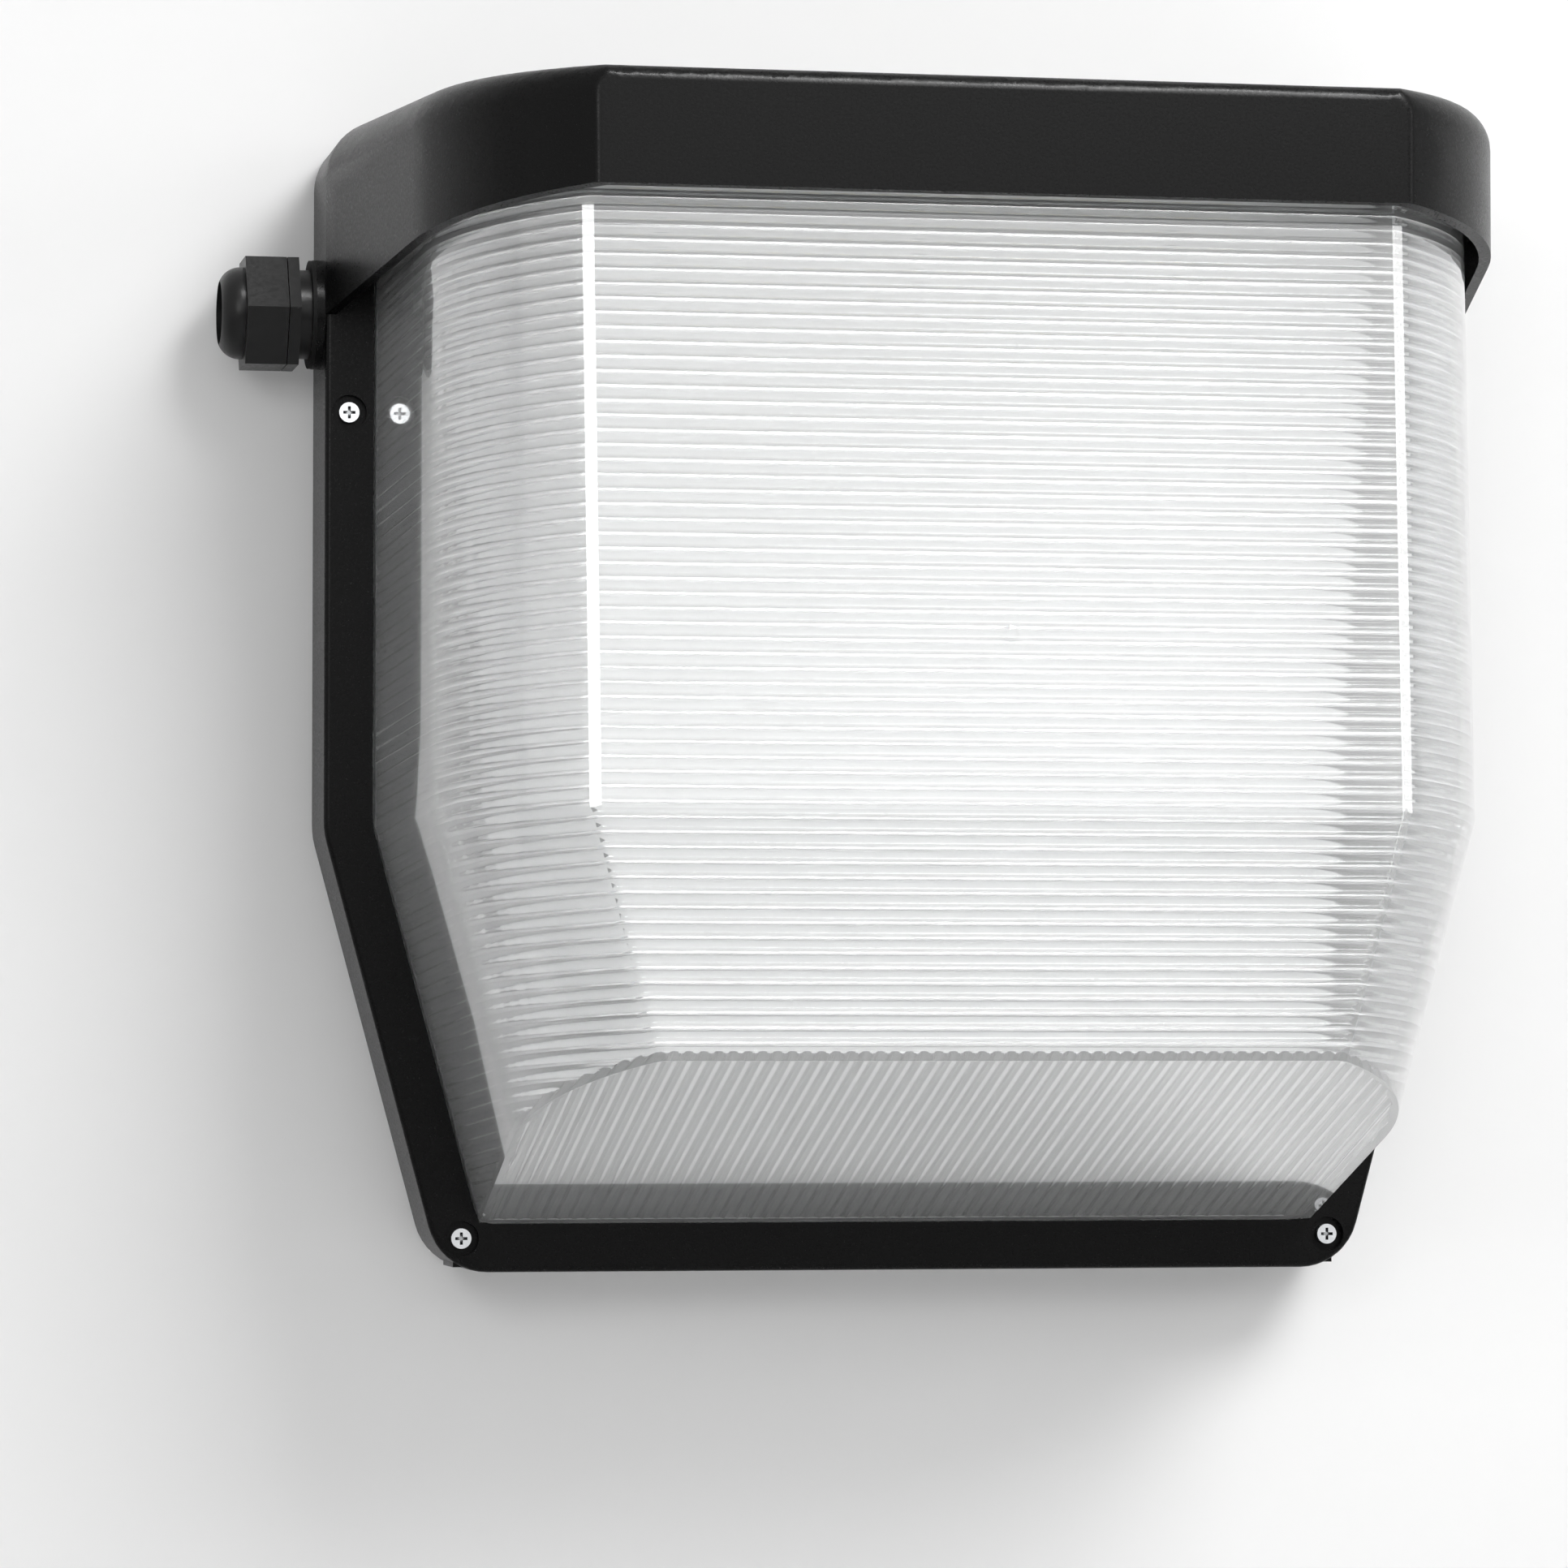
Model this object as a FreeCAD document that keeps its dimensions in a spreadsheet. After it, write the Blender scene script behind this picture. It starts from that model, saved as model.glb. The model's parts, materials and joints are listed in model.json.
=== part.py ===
import FreeCAD, Part
import math
import os
import Sketcher

# Wall pack light. Millimetres, +Z up, wall plane at Y = 0, front towards -Y, X = 0 on the centre line.
# "Forward" distances are measured from the wall towards the front, so y = -forward.

SIZES = {
    # outline of the plate and of the cover's side walls
    "frame_half_width": 200.0,
    "frame_half_height": 197.0,
    "bend_drop": 47.0,
    "side_taper": 0.27,
    "top_corner_radius": 20.0,
    "bottom_corner_radius": 21.0,
    "bend_radius": 30.0,
    "frame_depth": 43.0,
    "wall": 3.5,
    "flange_width": 16.5,
    "flange_thickness": 4.0,
    "edge_radius": 2.0,
    "part_gap": 0.3,
    "opening_top_radius": 6.0,
    # back plate
    "plate_thickness": 3.0,
    "plate_setback": 1.0,
    "plate_gasket_height": 1.0,
    "gasket_width": 2.8,
    "plate_rib_height": 3.5,
    "plate_rib_thickness": 3.0,
    "fixing_spacing_across": 240.0,
    "fixing_spacing_up": 180.0,
    "fixing_drop": 10.0,
    "fixing_radius": 3.0,
    "fixing_pad_radius": 8.0,
    "entry_radius": 11.0,
    "entry_drop": 60.0,
    "grommet_lip": 2.5,
    "grommet_height": 2.0,
    "earth_across": 60.0,
    "earth_drop": 60.0,
    "earth_boss_radius": 6.0,
    "earth_screw_radius": 2.0,
    "earth_washer_radius": 5.0,
    "earth_washer_height": 1.0,
    "earth_head_radius": 3.8,
    "earth_head_height": 2.6,
    # hood
    "hood_reach": 175.6,
    "hood_straight": 98.0,
    "hood_draft": 10.0,
    "hood_corner_radius": 120.0,
    "hood_top_fall": 6.6,
    "rim_height": 130.0,
    "rim_rise": 22.5,
    "hood_front_corner": 9.0,
    "hood_front_edge": 5.0,
    # lens bowl
    "lens_reach": 169.5,
    "lens_straight": 92.0,
    "lens_draft": 4.2,
    "lens_corner_radius": 105.0,
    "lens_lean": 0.0625,
    "lens_lower_lean": 0.026,
    "lens_rib_tilt": 4.0,
    "lens_clearance": 0.5,
    "lens_wall": 3.2,
    "lens_rib_pitch": 4.75,
    "lens_rib_height": 1.2,
    "lens_top_fall": 10.0,
    "lens_bottom_rise": 56.0,
    "lens_edge_radius": 6.0,
    "lens_flange_overlap": 4.0,
    "lens_flange_thickness": 3.0,
    "lens_gasket_thickness": 2.0,
    "lens_foot_radius": 7.0,
    # lens clips
    "clip_length": 13.0,
    "clip_width": 14.0,
    "clip_thickness": 1.5,
    "small_head_radius": 2.6,
    "small_head_height": 1.8,
    "clip_boss_radius": 3.6,
    "clip_boss_inset": 8.0,
    "clip_top_across": 90.0,
    "clip_side_height": 22.0,
    "clip_bottom_across": 80.0,
    "clip_screw_radius": 1.4,
    "clip_screw_depth": 5.0,
    # screws through the cover into the plate
    "cover_screw_inset": 8.2,
    "cover_screw_height": 96.5,
    "corner_screw_across": 152.6,
    "corner_screw_drop": 185.4,
    "recess_radius": 6.0,
    "recess_depth": 3.0,
    "pillar_radius": 4.0,
    "pillar_web": 5.0,
    "cover_screw_radius": 1.75,
    "cover_screw_head_radius": 3.45,
    "cover_screw_head_height": 2.2,
    "cross_recess_length": 4.2,
    "cross_recess_width": 1.0,
    "cross_recess_depth": 1.4,
    "cover_washer_height": 0.8,
    "screw_clearance": 0.4,
    "insert_radius": 3.0,
    "insert_length": 6.0,
    "insert_boss_radius": 3.8,
    "insert_boss_height": 10.5,
    "tip_clearance": 0.45,
    # hinge on the top edge
    "hinge_spacing": 200.0,
    "hinge_rise": 6.0,
    "hinge_forward": 10.0,
    "hinge_barrel_radius": 5.0,
    "hinge_pin_radius": 2.5,
    "hinge_clearance": 0.06,
    "pin_head_radius": 4.0,
    "pin_head_height": 1.5,
    "plate_ear_length": 16.0,
    "cover_knuckle_length": 10.0,
    "knuckle_gap": 0.4,
    # cable gland on the left side
    "gland_height": 132.0,
    "gland_forward": 23.5,
    "gland_boss_radius": 18.8,
    "gland_boss_height": 2.7,
    "gland_boss_inside": 8.0,
    "gland_thread_radius": 15.3,
    "gland_core_radius": 13.4,
    "gland_washer_radius": 18.6,
    "gland_washer_thickness": 1.3,
    "gland_neck": 4.3,
    "gland_collar_length": 3.9,
    "gland_spigot_length": 13.0,
    "gland_seal_setback": 3.0,
    "gland_hex": 37.0,
    "gland_nut_length": 14.5,
    "gland_dome_length": 8.4,
    "gland_dome_radius": 15.8,
    "gland_dome_corner": 7.5,
    "cable_radius": 7.0,
    "gland_bore_radius": 10.5,
    # reflector tray
    "tray_half_width_top": 166.0,
    "tray_half_width_bottom": 142.0,
    "tray_top": 171.0,
    "tray_bottom_drop": 160.0,
    "tray_reach": 26.0,
    "tray_sheet": 1.5,
    "tray_corner": 16.0,
    "tray_flare": 2.0,
    "tray_arm_width": 12.0,
    "tray_arm_root": 4.0,
    "tray_screw_radius": 2.0,
    "tray_post_high": 62.0,
    "tray_post_low": -18.0,
    # light source behind the hood
    "led_shelf_length": 240.0,
    "led_shelf_depth": 46.0,
    "led_shelf_thickness": 2.0,
    "led_shelf_height": 165.0,
    "led_leg_height": 26.0,
    "led_leg_screw_rise": 7.0,
    "led_screw_spacing": 90.0,
    "led_board_length": 220.0,
    "led_board_depth": 34.0,
    "led_board_thickness": 1.6,
    "led_size": 3.5,
    "led_height": 1.0,
    "led_pitch": 12.0,
    # driver and terminals behind the tray
    "driver_length": 170.0,
    "driver_width": 62.0,
    "driver_height": 32.0,
    "driver_drop": 20.0,
    "driver_cap_length": 14.0,
    "driver_edge_radius": 3.0,
    "driver_foot_length": 9.0,
    "driver_foot_thickness": 2.5,
    "terminal_length": 30.0,
    "terminal_width": 22.0,
    "terminal_height": 16.0,
    "terminal_across": 110.0,
    "terminal_rise": 100.0,
    "terminal_ear": 8.0,
    "terminal_screw_radius": 1.8,
    "terminal_screw_depth": 5.0,
}


class Size:
    # A named value with both its number and its text, so sums of sizes can drive expressions.
    def __init__(self, number, text):
        self.number = float(number)
        self.text = text

    def join(self, other, sign, number):
        return Size(number, "(%s %s %s)" % (self.text, sign, size(other).text))

    def __add__(self, other):
        return self.join(other, "+", self.number + size(other).number)

    def __sub__(self, other):
        return self.join(other, "-", self.number - size(other).number)

    def __mul__(self, other):
        return self.join(other, "*", self.number * size(other).number)

    def __truediv__(self, other):
        return self.join(other, "/", self.number / size(other).number)

    def __radd__(self, other):
        return size(other) + self

    def __rsub__(self, other):
        return size(other) - self

    def __rmul__(self, other):
        return size(other) * self

    def __rtruediv__(self, other):
        return size(other) / self

    def __neg__(self):
        return Size(-self.number, "(0 - %s)" % self.text)


def size(value):
    if isinstance(value, Size):
        return value
    return Size(value, "%.10g" % value if value >= 0 else "(0 - %.10g)" % -value)


def root(value):
    return Size(math.sqrt(value.number), "sqrt(%s)" % value.text)


def sine(value):
    return Size(math.sin(math.radians(value.number)), "sin(%s * 1 deg)" % value.text)


def cosine(value):
    return Size(math.cos(math.radians(value.number)), "cos(%s * 1 deg)" % value.text)


class Named:
    pass


doc = FreeCAD.newDocument("WallPackLight")
sheet = doc.addObject("Spreadsheet::Sheet", "Sizes")
S = Named()
for row, (name, value) in enumerate(SIZES.items(), start=1):
    sheet.set("A%d" % row, name)
    sheet.set("B%d" % row, "%.10g" % value)
    sheet.setAlias("B%d" % row, name)
    setattr(S, name, Size(value, "Sizes.%s" % name))
doc.recompute()

parts = []


# ---- helpers --------------------------------------------------------------------------------------------

def keep(label, shape_object):
    # every sub-part that is kept gets its own label, which names its node
    shape_object.Label = label
    parts.append(shape_object)
    return shape_object


def bind(target, **sizes):
    for prop, value in sizes.items():
        target.setExpression(prop, size(value).text)


def place(target, x=0, forward=0, z=0):
    target.setExpression("Placement.Base.x", size(x).text)
    target.setExpression("Placement.Base.y", (-size(forward)).text)
    target.setExpression("Placement.Base.z", size(z).text)


def new_body(name):
    return doc.addObject("PartDesign::Body", name)


def new_sketch(body, name, role, lift=0):
    # XZ_Plane looks at the wall and lift runs forward; YZ_Plane lifts along +X; XY_Plane lifts upwards
    sketch = body.newObject("Sketcher::SketchObject", name)
    plane = [feature for feature in body.Origin.OriginFeatures if feature.Role == role][0]
    sketch.AttachmentSupport = [(plane, "")]
    sketch.MapMode = "FlatFace"
    sketch.setExpression("AttachmentOffset.Base.z", size(lift).text)
    return sketch


def front_sketch(body, name, forward):
    return new_sketch(body, name, "XZ_Plane", forward)


def pin_point(sketch, geometry, end, x, y):
    for kind, value in (("DistanceX", size(x)), ("DistanceY", size(y))):
        row = sketch.addConstraint(Sketcher.Constraint(kind, -1, 1, geometry, end, value.number))
        sketch.setExpression("Constraints[%d]" % row, value.text)


def vector(x, y):
    return FreeCAD.Vector(size(x).number, size(y).number, 0)


def draw_outline(sketch, points):
    # closed outline of straight edges
    first = sketch.GeometryCount
    count = len(points)
    for index, point in enumerate(points):
        following = points[(index + 1) % count]
        sketch.addGeometry(Part.LineSegment(vector(*point), vector(*following)), False)
    for index in range(count):
        following = first + (index + 1) % count
        sketch.addConstraint(Sketcher.Constraint("Coincident", first + index, 2, following, 1))
    for index, (x, y) in enumerate(points):
        pin_point(sketch, first + index, 1, x, y)


def draw_box(sketch, x_low, x_high, y_low, y_high):
    draw_outline(sketch, [(x_low, y_low), (x_high, y_low), (x_high, y_high), (x_low, y_high)])


def draw_circle(sketch, x, y, radius):
    radius = size(radius)
    circle = Part.Circle(vector(x, y), FreeCAD.Vector(0, 0, 1), radius.number)
    index = sketch.addGeometry(circle, False)
    pin_point(sketch, index, 3, x, y)
    row = sketch.addConstraint(Sketcher.Constraint("Radius", index, radius.number))
    sketch.setExpression("Constraints[%d]" % row, radius.text)


def draw_hexagon(sketch, x, y, across_flats):
    # two flats are level
    corner = across_flats / root(size(3))
    half = corner / 2
    flat = across_flats / 2
    draw_outline(sketch, [(x + corner, y), (x + half, y + flat), (x - half, y + flat),
                          (x - corner, y), (x - half, y - flat), (x + half, y - flat)])


def chain(sketch, pieces, joints):
    for piece in pieces:
        sketch.addGeometry(piece, False)
    for first, first_end, second, second_end in joints:
        sketch.addConstraint(Sketcher.Constraint("Coincident", first, first_end, second, second_end))


def draw_hood_section(sketch, half_width, top, bottom, radius):
    # an arch section: level bottom, upright sides and two rounded top corners
    half_width, top, bottom, radius = size(half_width), size(top), size(bottom), size(radius)
    w, t, b, r = half_width.number, top.number, bottom.number, radius.number
    quarter = 0.5 * math.pi
    up = FreeCAD.Vector(0, 0, 1)
    pieces = [
        Part.LineSegment(vector(-w, b), vector(w, b)),
        Part.LineSegment(vector(w, b), vector(w, t - r)),
        Part.ArcOfCircle(Part.Circle(vector(w - r, t - r), up, r), 0, quarter),
        Part.LineSegment(vector(w - r, t), vector(r - w, t)),
        Part.ArcOfCircle(Part.Circle(vector(r - w, t - r), up, r), quarter, 2 * quarter),
        Part.LineSegment(vector(-w, t - r), vector(-w, b)),
    ]
    chain(sketch, pieces, [(index, 2, (index + 1) % 6, 1) for index in range(6)])
    pin_point(sketch, 0, 1, -half_width, bottom)
    pin_point(sketch, 0, 2, half_width, bottom)
    pin_point(sketch, 2, 1, half_width, top - radius)
    pin_point(sketch, 2, 2, half_width - radius, top)
    pin_point(sketch, 4, 1, radius - half_width, top)
    pin_point(sketch, 4, 2, -half_width, top - radius)
    for index in (2, 4):
        row = sketch.addConstraint(Sketcher.Constraint("Radius", index, r))
        sketch.setExpression("Constraints[%d]" % row, radius.text)


def pad(body, name, sketch, length, backwards=False):
    feature = body.newObject("PartDesign::Pad", name)
    feature.Profile = sketch
    bind(feature, Length=length)
    feature.Reversed = backwards
    return feature


def cut(body, name, sketch, length, backwards=False):
    # cuts along the sketch's normal, or against it
    feature = body.newObject("PartDesign::Pocket", name)
    feature.Profile = sketch
    bind(feature, Length=length)
    feature.Reversed = not backwards
    return feature


def fillet(body, name, base, names, radius):
    feature = body.newObject("PartDesign::Fillet", name)
    feature.Base = (base, names)
    bind(feature, Radius=radius)
    doc.recompute()
    return feature


def edge_names(shape, test):
    return ["Edge%d" % (index + 1) for index, edge in enumerate(shape.Edges) if test(edge)]


def runs_along(edge, axis):
    # a straight edge parallel to the given axis vector
    if len(edge.Vertexes) != 2:
        return False
    span = edge.Vertexes[1].Point - edge.Vertexes[0].Point
    return span.Length > 1e-6 and abs(abs(span.normalize() * axis) - 1) < 1e-6


def lies_at(edge, forward):
    # an edge that lies wholly in the plane at this distance from the wall
    box = edge.BoundBox
    return box.YLength < 1e-4 and abs(box.YMin + size(forward).number) < 1e-4


def cylinder(name, radius, length, x, forward, z, turn=None):
    # runs forward unless another turn is given
    piece = doc.addObject("Part::Cylinder", name)
    piece.Placement.Rotation = turn or FreeCAD.Rotation(FreeCAD.Vector(1, 0, 0), 90)
    bind(piece, Radius=radius, Height=length)
    place(piece, x, forward, z)
    return piece


def block(name, x_low, x_length, forward_low, depth, z_low, height):
    piece = doc.addObject("Part::Box", name)
    bind(piece, Length=x_length, Width=depth, Height=height)
    place(piece, x_low, forward_low + depth, z_low)
    return piece


def fuse(name, pieces):
    piece = doc.addObject("Part::MultiFuse", name)
    piece.Shapes = pieces
    return piece


def subtract(name, base, tool):
    piece = doc.addObject("Part::Cut", name)
    piece.Base = base
    piece.Tool = tool
    return piece


def group(name, pieces):
    piece = doc.addObject("Part::Compound", name)
    piece.Links = pieces
    return piece


def screw(name, x, z, seat, grip, head_radius, head_height, radius, from_front=True):
    # a plain screw: seat is the forward distance of the face under its head
    if from_front:
        head = cylinder(name + "_head", head_radius, head_height, x, seat, z)
        shank = cylinder(name + "_shank", radius, grip, x, seat - grip, z)
    else:
        head = cylinder(name + "_head", head_radius, head_height, x, seat - head_height, z)
        shank = cylinder(name + "_shank", radius, grip, x, seat, z)
    return fuse(name, [head, shank])


LEFTWARDS = FreeCAD.Rotation(FreeCAD.Vector(0, 1, 0), -90)
RIGHTWARDS = FreeCAD.Rotation(FreeCAD.Vector(0, 1, 0), 90)


# ---- shared outline and places --------------------------------------------------------------------------

slant = root(1 + S.side_taper * S.side_taper)
half_turn = (slant - 1) / S.side_taper
plate_front = S.plate_thickness + S.plate_gasket_height
cover_rear = plate_front + S.part_gap
flange_rear = S.frame_depth - S.flange_thickness
lens_inset = S.flange_width + S.lens_clearance
gasket_rear = flange_rear - S.lens_gasket_thickness
lens_rear = gasket_rear - S.lens_flange_thickness
clip_rear = lens_rear - S.clip_thickness
post_rear = clip_rear - S.part_gap
tray_front = S.frame_depth + S.tray_reach
tray_back = tray_front - S.tray_sheet
hinge_height = S.frame_half_height + S.hinge_rise
boss_front = plate_front + S.insert_boss_height
pillar_rear = boss_front + S.part_gap
screw_seat = S.frame_depth - S.recess_depth

screw_side = S.frame_half_width - S.cover_screw_inset
screw_spots = {
    "left": (-screw_side, S.cover_screw_height),
    "right": (screw_side, S.cover_screw_height),
    "bottom_left": (-S.corner_screw_across, -S.corner_screw_drop),
    "bottom_right": (S.corner_screw_across, -S.corner_screw_drop),
}

clip_side = S.frame_half_width - S.clip_boss_inset
clip_end = S.frame_half_height - S.clip_boss_inset
clip_spots = [
    (-S.clip_top_across, clip_end), (S.clip_top_across, clip_end),
    (-clip_side, S.clip_side_height), (clip_side, S.clip_side_height),
    (-S.clip_bottom_across, -clip_end), (S.clip_bottom_across, -clip_end),
]
bracket_screw_height = S.led_shelf_height - S.led_leg_height + S.led_leg_screw_rise
bracket_spots = [(number * S.led_screw_spacing, bracket_screw_height) for number in (-1, 0, 1)]
tray_spots = [
    (-clip_side, S.tray_post_high), (clip_side, S.tray_post_high),
    (-clip_side, S.tray_post_low), (clip_side, S.tray_post_low),
]


def draw_frame_outline(sketch, inset, radii):
    # the frame's outline moved inwards by inset, with rounded top, bottom and bend corners
    inset = size(inset)
    top_radius, bottom_radius, bend_radius = radii
    top = S.frame_half_height - inset
    side = S.frame_half_width - inset
    bottom = -top
    bend = inset * half_turn - S.bend_drop
    foot = S.frame_half_width - inset * slant - S.side_taper * (-S.bend_drop - bottom)
    lean_x, lean_z = S.side_taper / slant, 1 / slant
    bend_reach = bend_radius * half_turn
    foot_reach = bottom_radius * (1 - half_turn) / (1 + half_turn)
    lean = math.atan(S.side_taper.number)
    # each corner: its first and last point going clockwise, the centre and radius, and the lower angle
    right = [
        ((side - top_radius, top), (side, top - top_radius), (side - top_radius, top - top_radius),
         top_radius, 0),
        ((side, bend + bend_reach), (side - lean_x * bend_reach, bend - lean_z * bend_reach),
         (side - bend_radius, bend + bend_reach), bend_radius, -lean),
        ((foot + lean_x * foot_reach, bottom + lean_z * foot_reach), (foot - foot_reach, bottom),
         (foot - foot_reach, bottom + bottom_radius), bottom_radius, -0.5 * math.pi),
    ]
    spans = (0.5 * math.pi, lean, 0.5 * math.pi - lean)
    first = sketch.GeometryCount
    ends = []
    for (start, end, centre, radius, angle), span in zip(right, spans):
        circle = Part.Circle(vector(*centre), FreeCAD.Vector(0, 0, 1), radius.number)
        sketch.addGeometry(Part.ArcOfCircle(circle, angle, angle + span), False)
        ends.append((start, end, radius, (2, 1)))
    for (start, end, centre, radius, angle), span in reversed(list(zip(right, spans))):
        circle = Part.Circle(vector(-centre[0], centre[1]), FreeCAD.Vector(0, 0, 1), radius.number)
        sketch.addGeometry(Part.ArcOfCircle(circle, math.pi - angle - span, math.pi - angle), False)
        ends.append(((-end[0], end[1]), (-start[0], start[1]), radius, (2, 1)))
    for index, (start, end, radius, numbers) in enumerate(ends):
        pin_point(sketch, first + index, numbers[0], *start)
        pin_point(sketch, first + index, numbers[1], *end)
        row = sketch.addConstraint(Sketcher.Constraint("Radius", first + index, radius.number))
        sketch.setExpression("Constraints[%d]" % row, radius.text)
    for index, (start, end, radius, numbers) in enumerate(ends):
        following = ends[(index + 1) % 6]
        line = sketch.addGeometry(Part.LineSegment(vector(*end), vector(*following[0])), False)
        sketch.addConstraint(Sketcher.Constraint("Coincident", line, 1, first + index, numbers[1]))
        sketch.addConstraint(Sketcher.Constraint("Coincident", line, 2, first + (index + 1) % 6,
                                                 following[3][0]))


def outline_pad(body, name, rear, length, inset, radii):
    sketch = front_sketch(body, name + "_outline", rear)
    draw_frame_outline(sketch, inset, radii)
    return pad(body, name, sketch, length)


def outline_cut(body, name, rear, length, inset, radii):
    sketch = front_sketch(body, name + "_outline", rear)
    draw_frame_outline(sketch, inset, radii)
    return cut(body, name, sketch, length)


def frame_radii(inset):
    return (S.top_corner_radius - inset, S.bottom_corner_radius - inset, S.bend_radius)


opening_radii = (S.opening_top_radius, S.lens_foot_radius + S.lens_clearance, S.bend_radius)
lens_radii = (S.opening_top_radius, S.lens_foot_radius, S.bend_radius)


def lens_flange_radii(inset):
    grown = lens_inset - inset
    return (S.opening_top_radius + grown, S.lens_foot_radius + grown, S.bend_radius + grown)


# ---- cover casting --------------------------------------------------------------------------------------

def hood_stations():
    # plan of the hood: a straight drafted side, then one arc round to the front face
    draft = S.hood_draft
    yield size(0), S.frame_half_width
    start = S.frame_half_width - S.hood_straight * sine(draft) / cosine(draft)
    centre_x = start - S.hood_corner_radius * cosine(draft)
    centre_d = S.hood_straight - S.hood_corner_radius * sine(draft)
    steps = 5
    for step in range(steps + 1):
        depth = S.hood_straight + (S.hood_reach - S.hood_straight) * (step / steps)
        rise = (depth - centre_d) / S.hood_corner_radius
        yield depth, centre_x + S.hood_corner_radius * root(1 - rise * rise)


def hood_sections(body, name, inset, drop):
    # one arch sketch per station; the hollow is the same form moved in by the wall and open below
    sketches = []
    for number, (depth, half_width) in enumerate(hood_stations()):
        share = depth / S.hood_reach
        top = S.frame_half_height - S.hood_top_fall * share - inset
        bottom = S.rim_height + S.rim_rise * share - drop
        radius = S.top_corner_radius - (S.top_corner_radius - S.hood_front_corner) * share - inset
        sketch = front_sketch(body, "%s_%d" % (name, number),
                              S.frame_depth + share * (S.hood_reach - inset))
        draw_hood_section(sketch, half_width - inset, top, bottom, radius)
        sketches.append(sketch)
    return sketches


def loft(body, kind, name, sections, ruled):
    feature = body.newObject("PartDesign::" + kind, name)
    feature.Profile = sections[0]
    feature.Sections = sections[1:]
    feature.Ruled = ruled
    return feature


def pad_circles(body, name, spots, radius, rear, length):
    sketch = front_sketch(body, name + "_places", rear)
    for x, z in spots:
        draw_circle(sketch, x, z, radius)
    return pad(body, name, sketch, length)


def cut_circles(body, name, spots, radius, rear, length):
    sketch = front_sketch(body, name + "_places", rear)
    for x, z in spots:
        draw_circle(sketch, x, z, radius)
    return cut(body, name, sketch, length)


def add_hood(body):
    # the hood's root covers the rounded edge of the side walls behind it
    root_depth = 2 * S.edge_radius
    sketch = front_sketch(body, "hood_root_section", S.frame_depth - root_depth)
    draw_hood_section(sketch, S.frame_half_width, S.frame_half_height, S.rim_height, S.top_corner_radius)
    pad(body, "hood_root", sketch, root_depth)
    sections = hood_sections(body, "hood_section", size(0), size(0))
    loft(body, "AdditiveLoft", "hood_side", sections[:2], True)
    front = loft(body, "AdditiveLoft", "hood_front", sections[1:], False)
    doc.recompute()
    front_plane = S.frame_depth + S.hood_reach
    rim_front = (S.rim_height + S.rim_rise).number

    def round_here(edge):
        return lies_at(edge, front_plane) and edge.BoundBox.ZMax > rim_front + 1

    return fillet(body, "hood_front_edge", front, edge_names(front.Shape, round_here), S.hood_front_edge)


def add_knuckles(body):
    # each hinge has two cover knuckles, one either side of the plate's ear
    offset = S.plate_ear_length / 2 + S.knuckle_gap
    for side, hinge in (("left", -S.hinge_spacing / 2), ("right", S.hinge_spacing / 2)):
        for end, start in (("outer", hinge - offset - S.cover_knuckle_length), ("inner", hinge + offset)):
            name = "knuckle_%s_%s" % (side, end)
            sketch = new_sketch(body, name + "_web_outline", "YZ_Plane", start)
            radius = S.hinge_barrel_radius
            draw_box(sketch, -S.hinge_forward - radius, radius - S.hinge_forward,
                     S.frame_half_height - S.wall / 2, hinge_height)
            pad(body, name + "_web", sketch, S.cover_knuckle_length)
            sketch = new_sketch(body, name + "_barrel_outline", "YZ_Plane", start)
            draw_circle(sketch, -S.hinge_forward, hinge_height, radius)
            pad(body, name + "_barrel", sketch, S.cover_knuckle_length)
        sketch = new_sketch(body, "pin_bore_%s_outline" % side, "YZ_Plane",
                            hinge - offset - S.cover_knuckle_length - 1)
        draw_circle(sketch, -S.hinge_forward, hinge_height, S.hinge_pin_radius + S.hinge_clearance)
        cut(body, "pin_bore_" + side, sketch, 2 * (offset + S.cover_knuckle_length + 1))


def add_pillars(body):
    # screw pillars stand behind the flange; webs tie them to the nearest wall
    pad_circles(body, "screw_pillars", screw_spots.values(), S.pillar_radius, pillar_rear,
                flange_rear + 1 - pillar_rear)
    for side in ("left", "right"):
        sign = -1 if side == "left" else 1
        sketch = front_sketch(body, "side_web_%s_outline" % side, pillar_rear)
        near = sign * (S.frame_half_width - S.wall / 2)
        half = S.pillar_web / 2
        draw_box(sketch, near, sign * screw_side, S.cover_screw_height - half, S.cover_screw_height + half)
        pad(body, "side_web_" + side, sketch, flange_rear + 1 - pillar_rear)
        sketch = front_sketch(body, "corner_web_%s_outline" % side, pillar_rear)
        middle = sign * S.corner_screw_across
        draw_box(sketch, middle - half, middle + half, S.wall / 2 - S.frame_half_height,
                 -S.corner_screw_drop)
        pad(body, "corner_web_" + side, sketch, flange_rear + 1 - pillar_rear)
    cut_circles(body, "screw_recesses", screw_spots.values(), S.recess_radius, screw_seat,
                S.recess_depth + 1)
    cut_circles(body, "screw_holes", screw_spots.values(), S.cover_screw_radius + S.screw_clearance,
                pillar_rear - 1, S.frame_depth - pillar_rear)


def add_gland_boss(body):
    outer = -S.frame_half_width - S.gland_boss_height
    sketch = new_sketch(body, "gland_boss_outline", "YZ_Plane", outer)
    draw_circle(sketch, -S.gland_forward, S.gland_height, S.gland_boss_radius)
    pad(body, "gland_boss", sketch, S.gland_boss_height + S.wall + S.gland_boss_inside)
    sketch = new_sketch(body, "gland_hole_outline", "YZ_Plane", outer - 1)
    draw_circle(sketch, -S.gland_forward, S.gland_height, S.gland_thread_radius)
    return cut(body, "gland_hole", sketch, S.gland_boss_height + S.wall + S.gland_boss_inside + 2)


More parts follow.
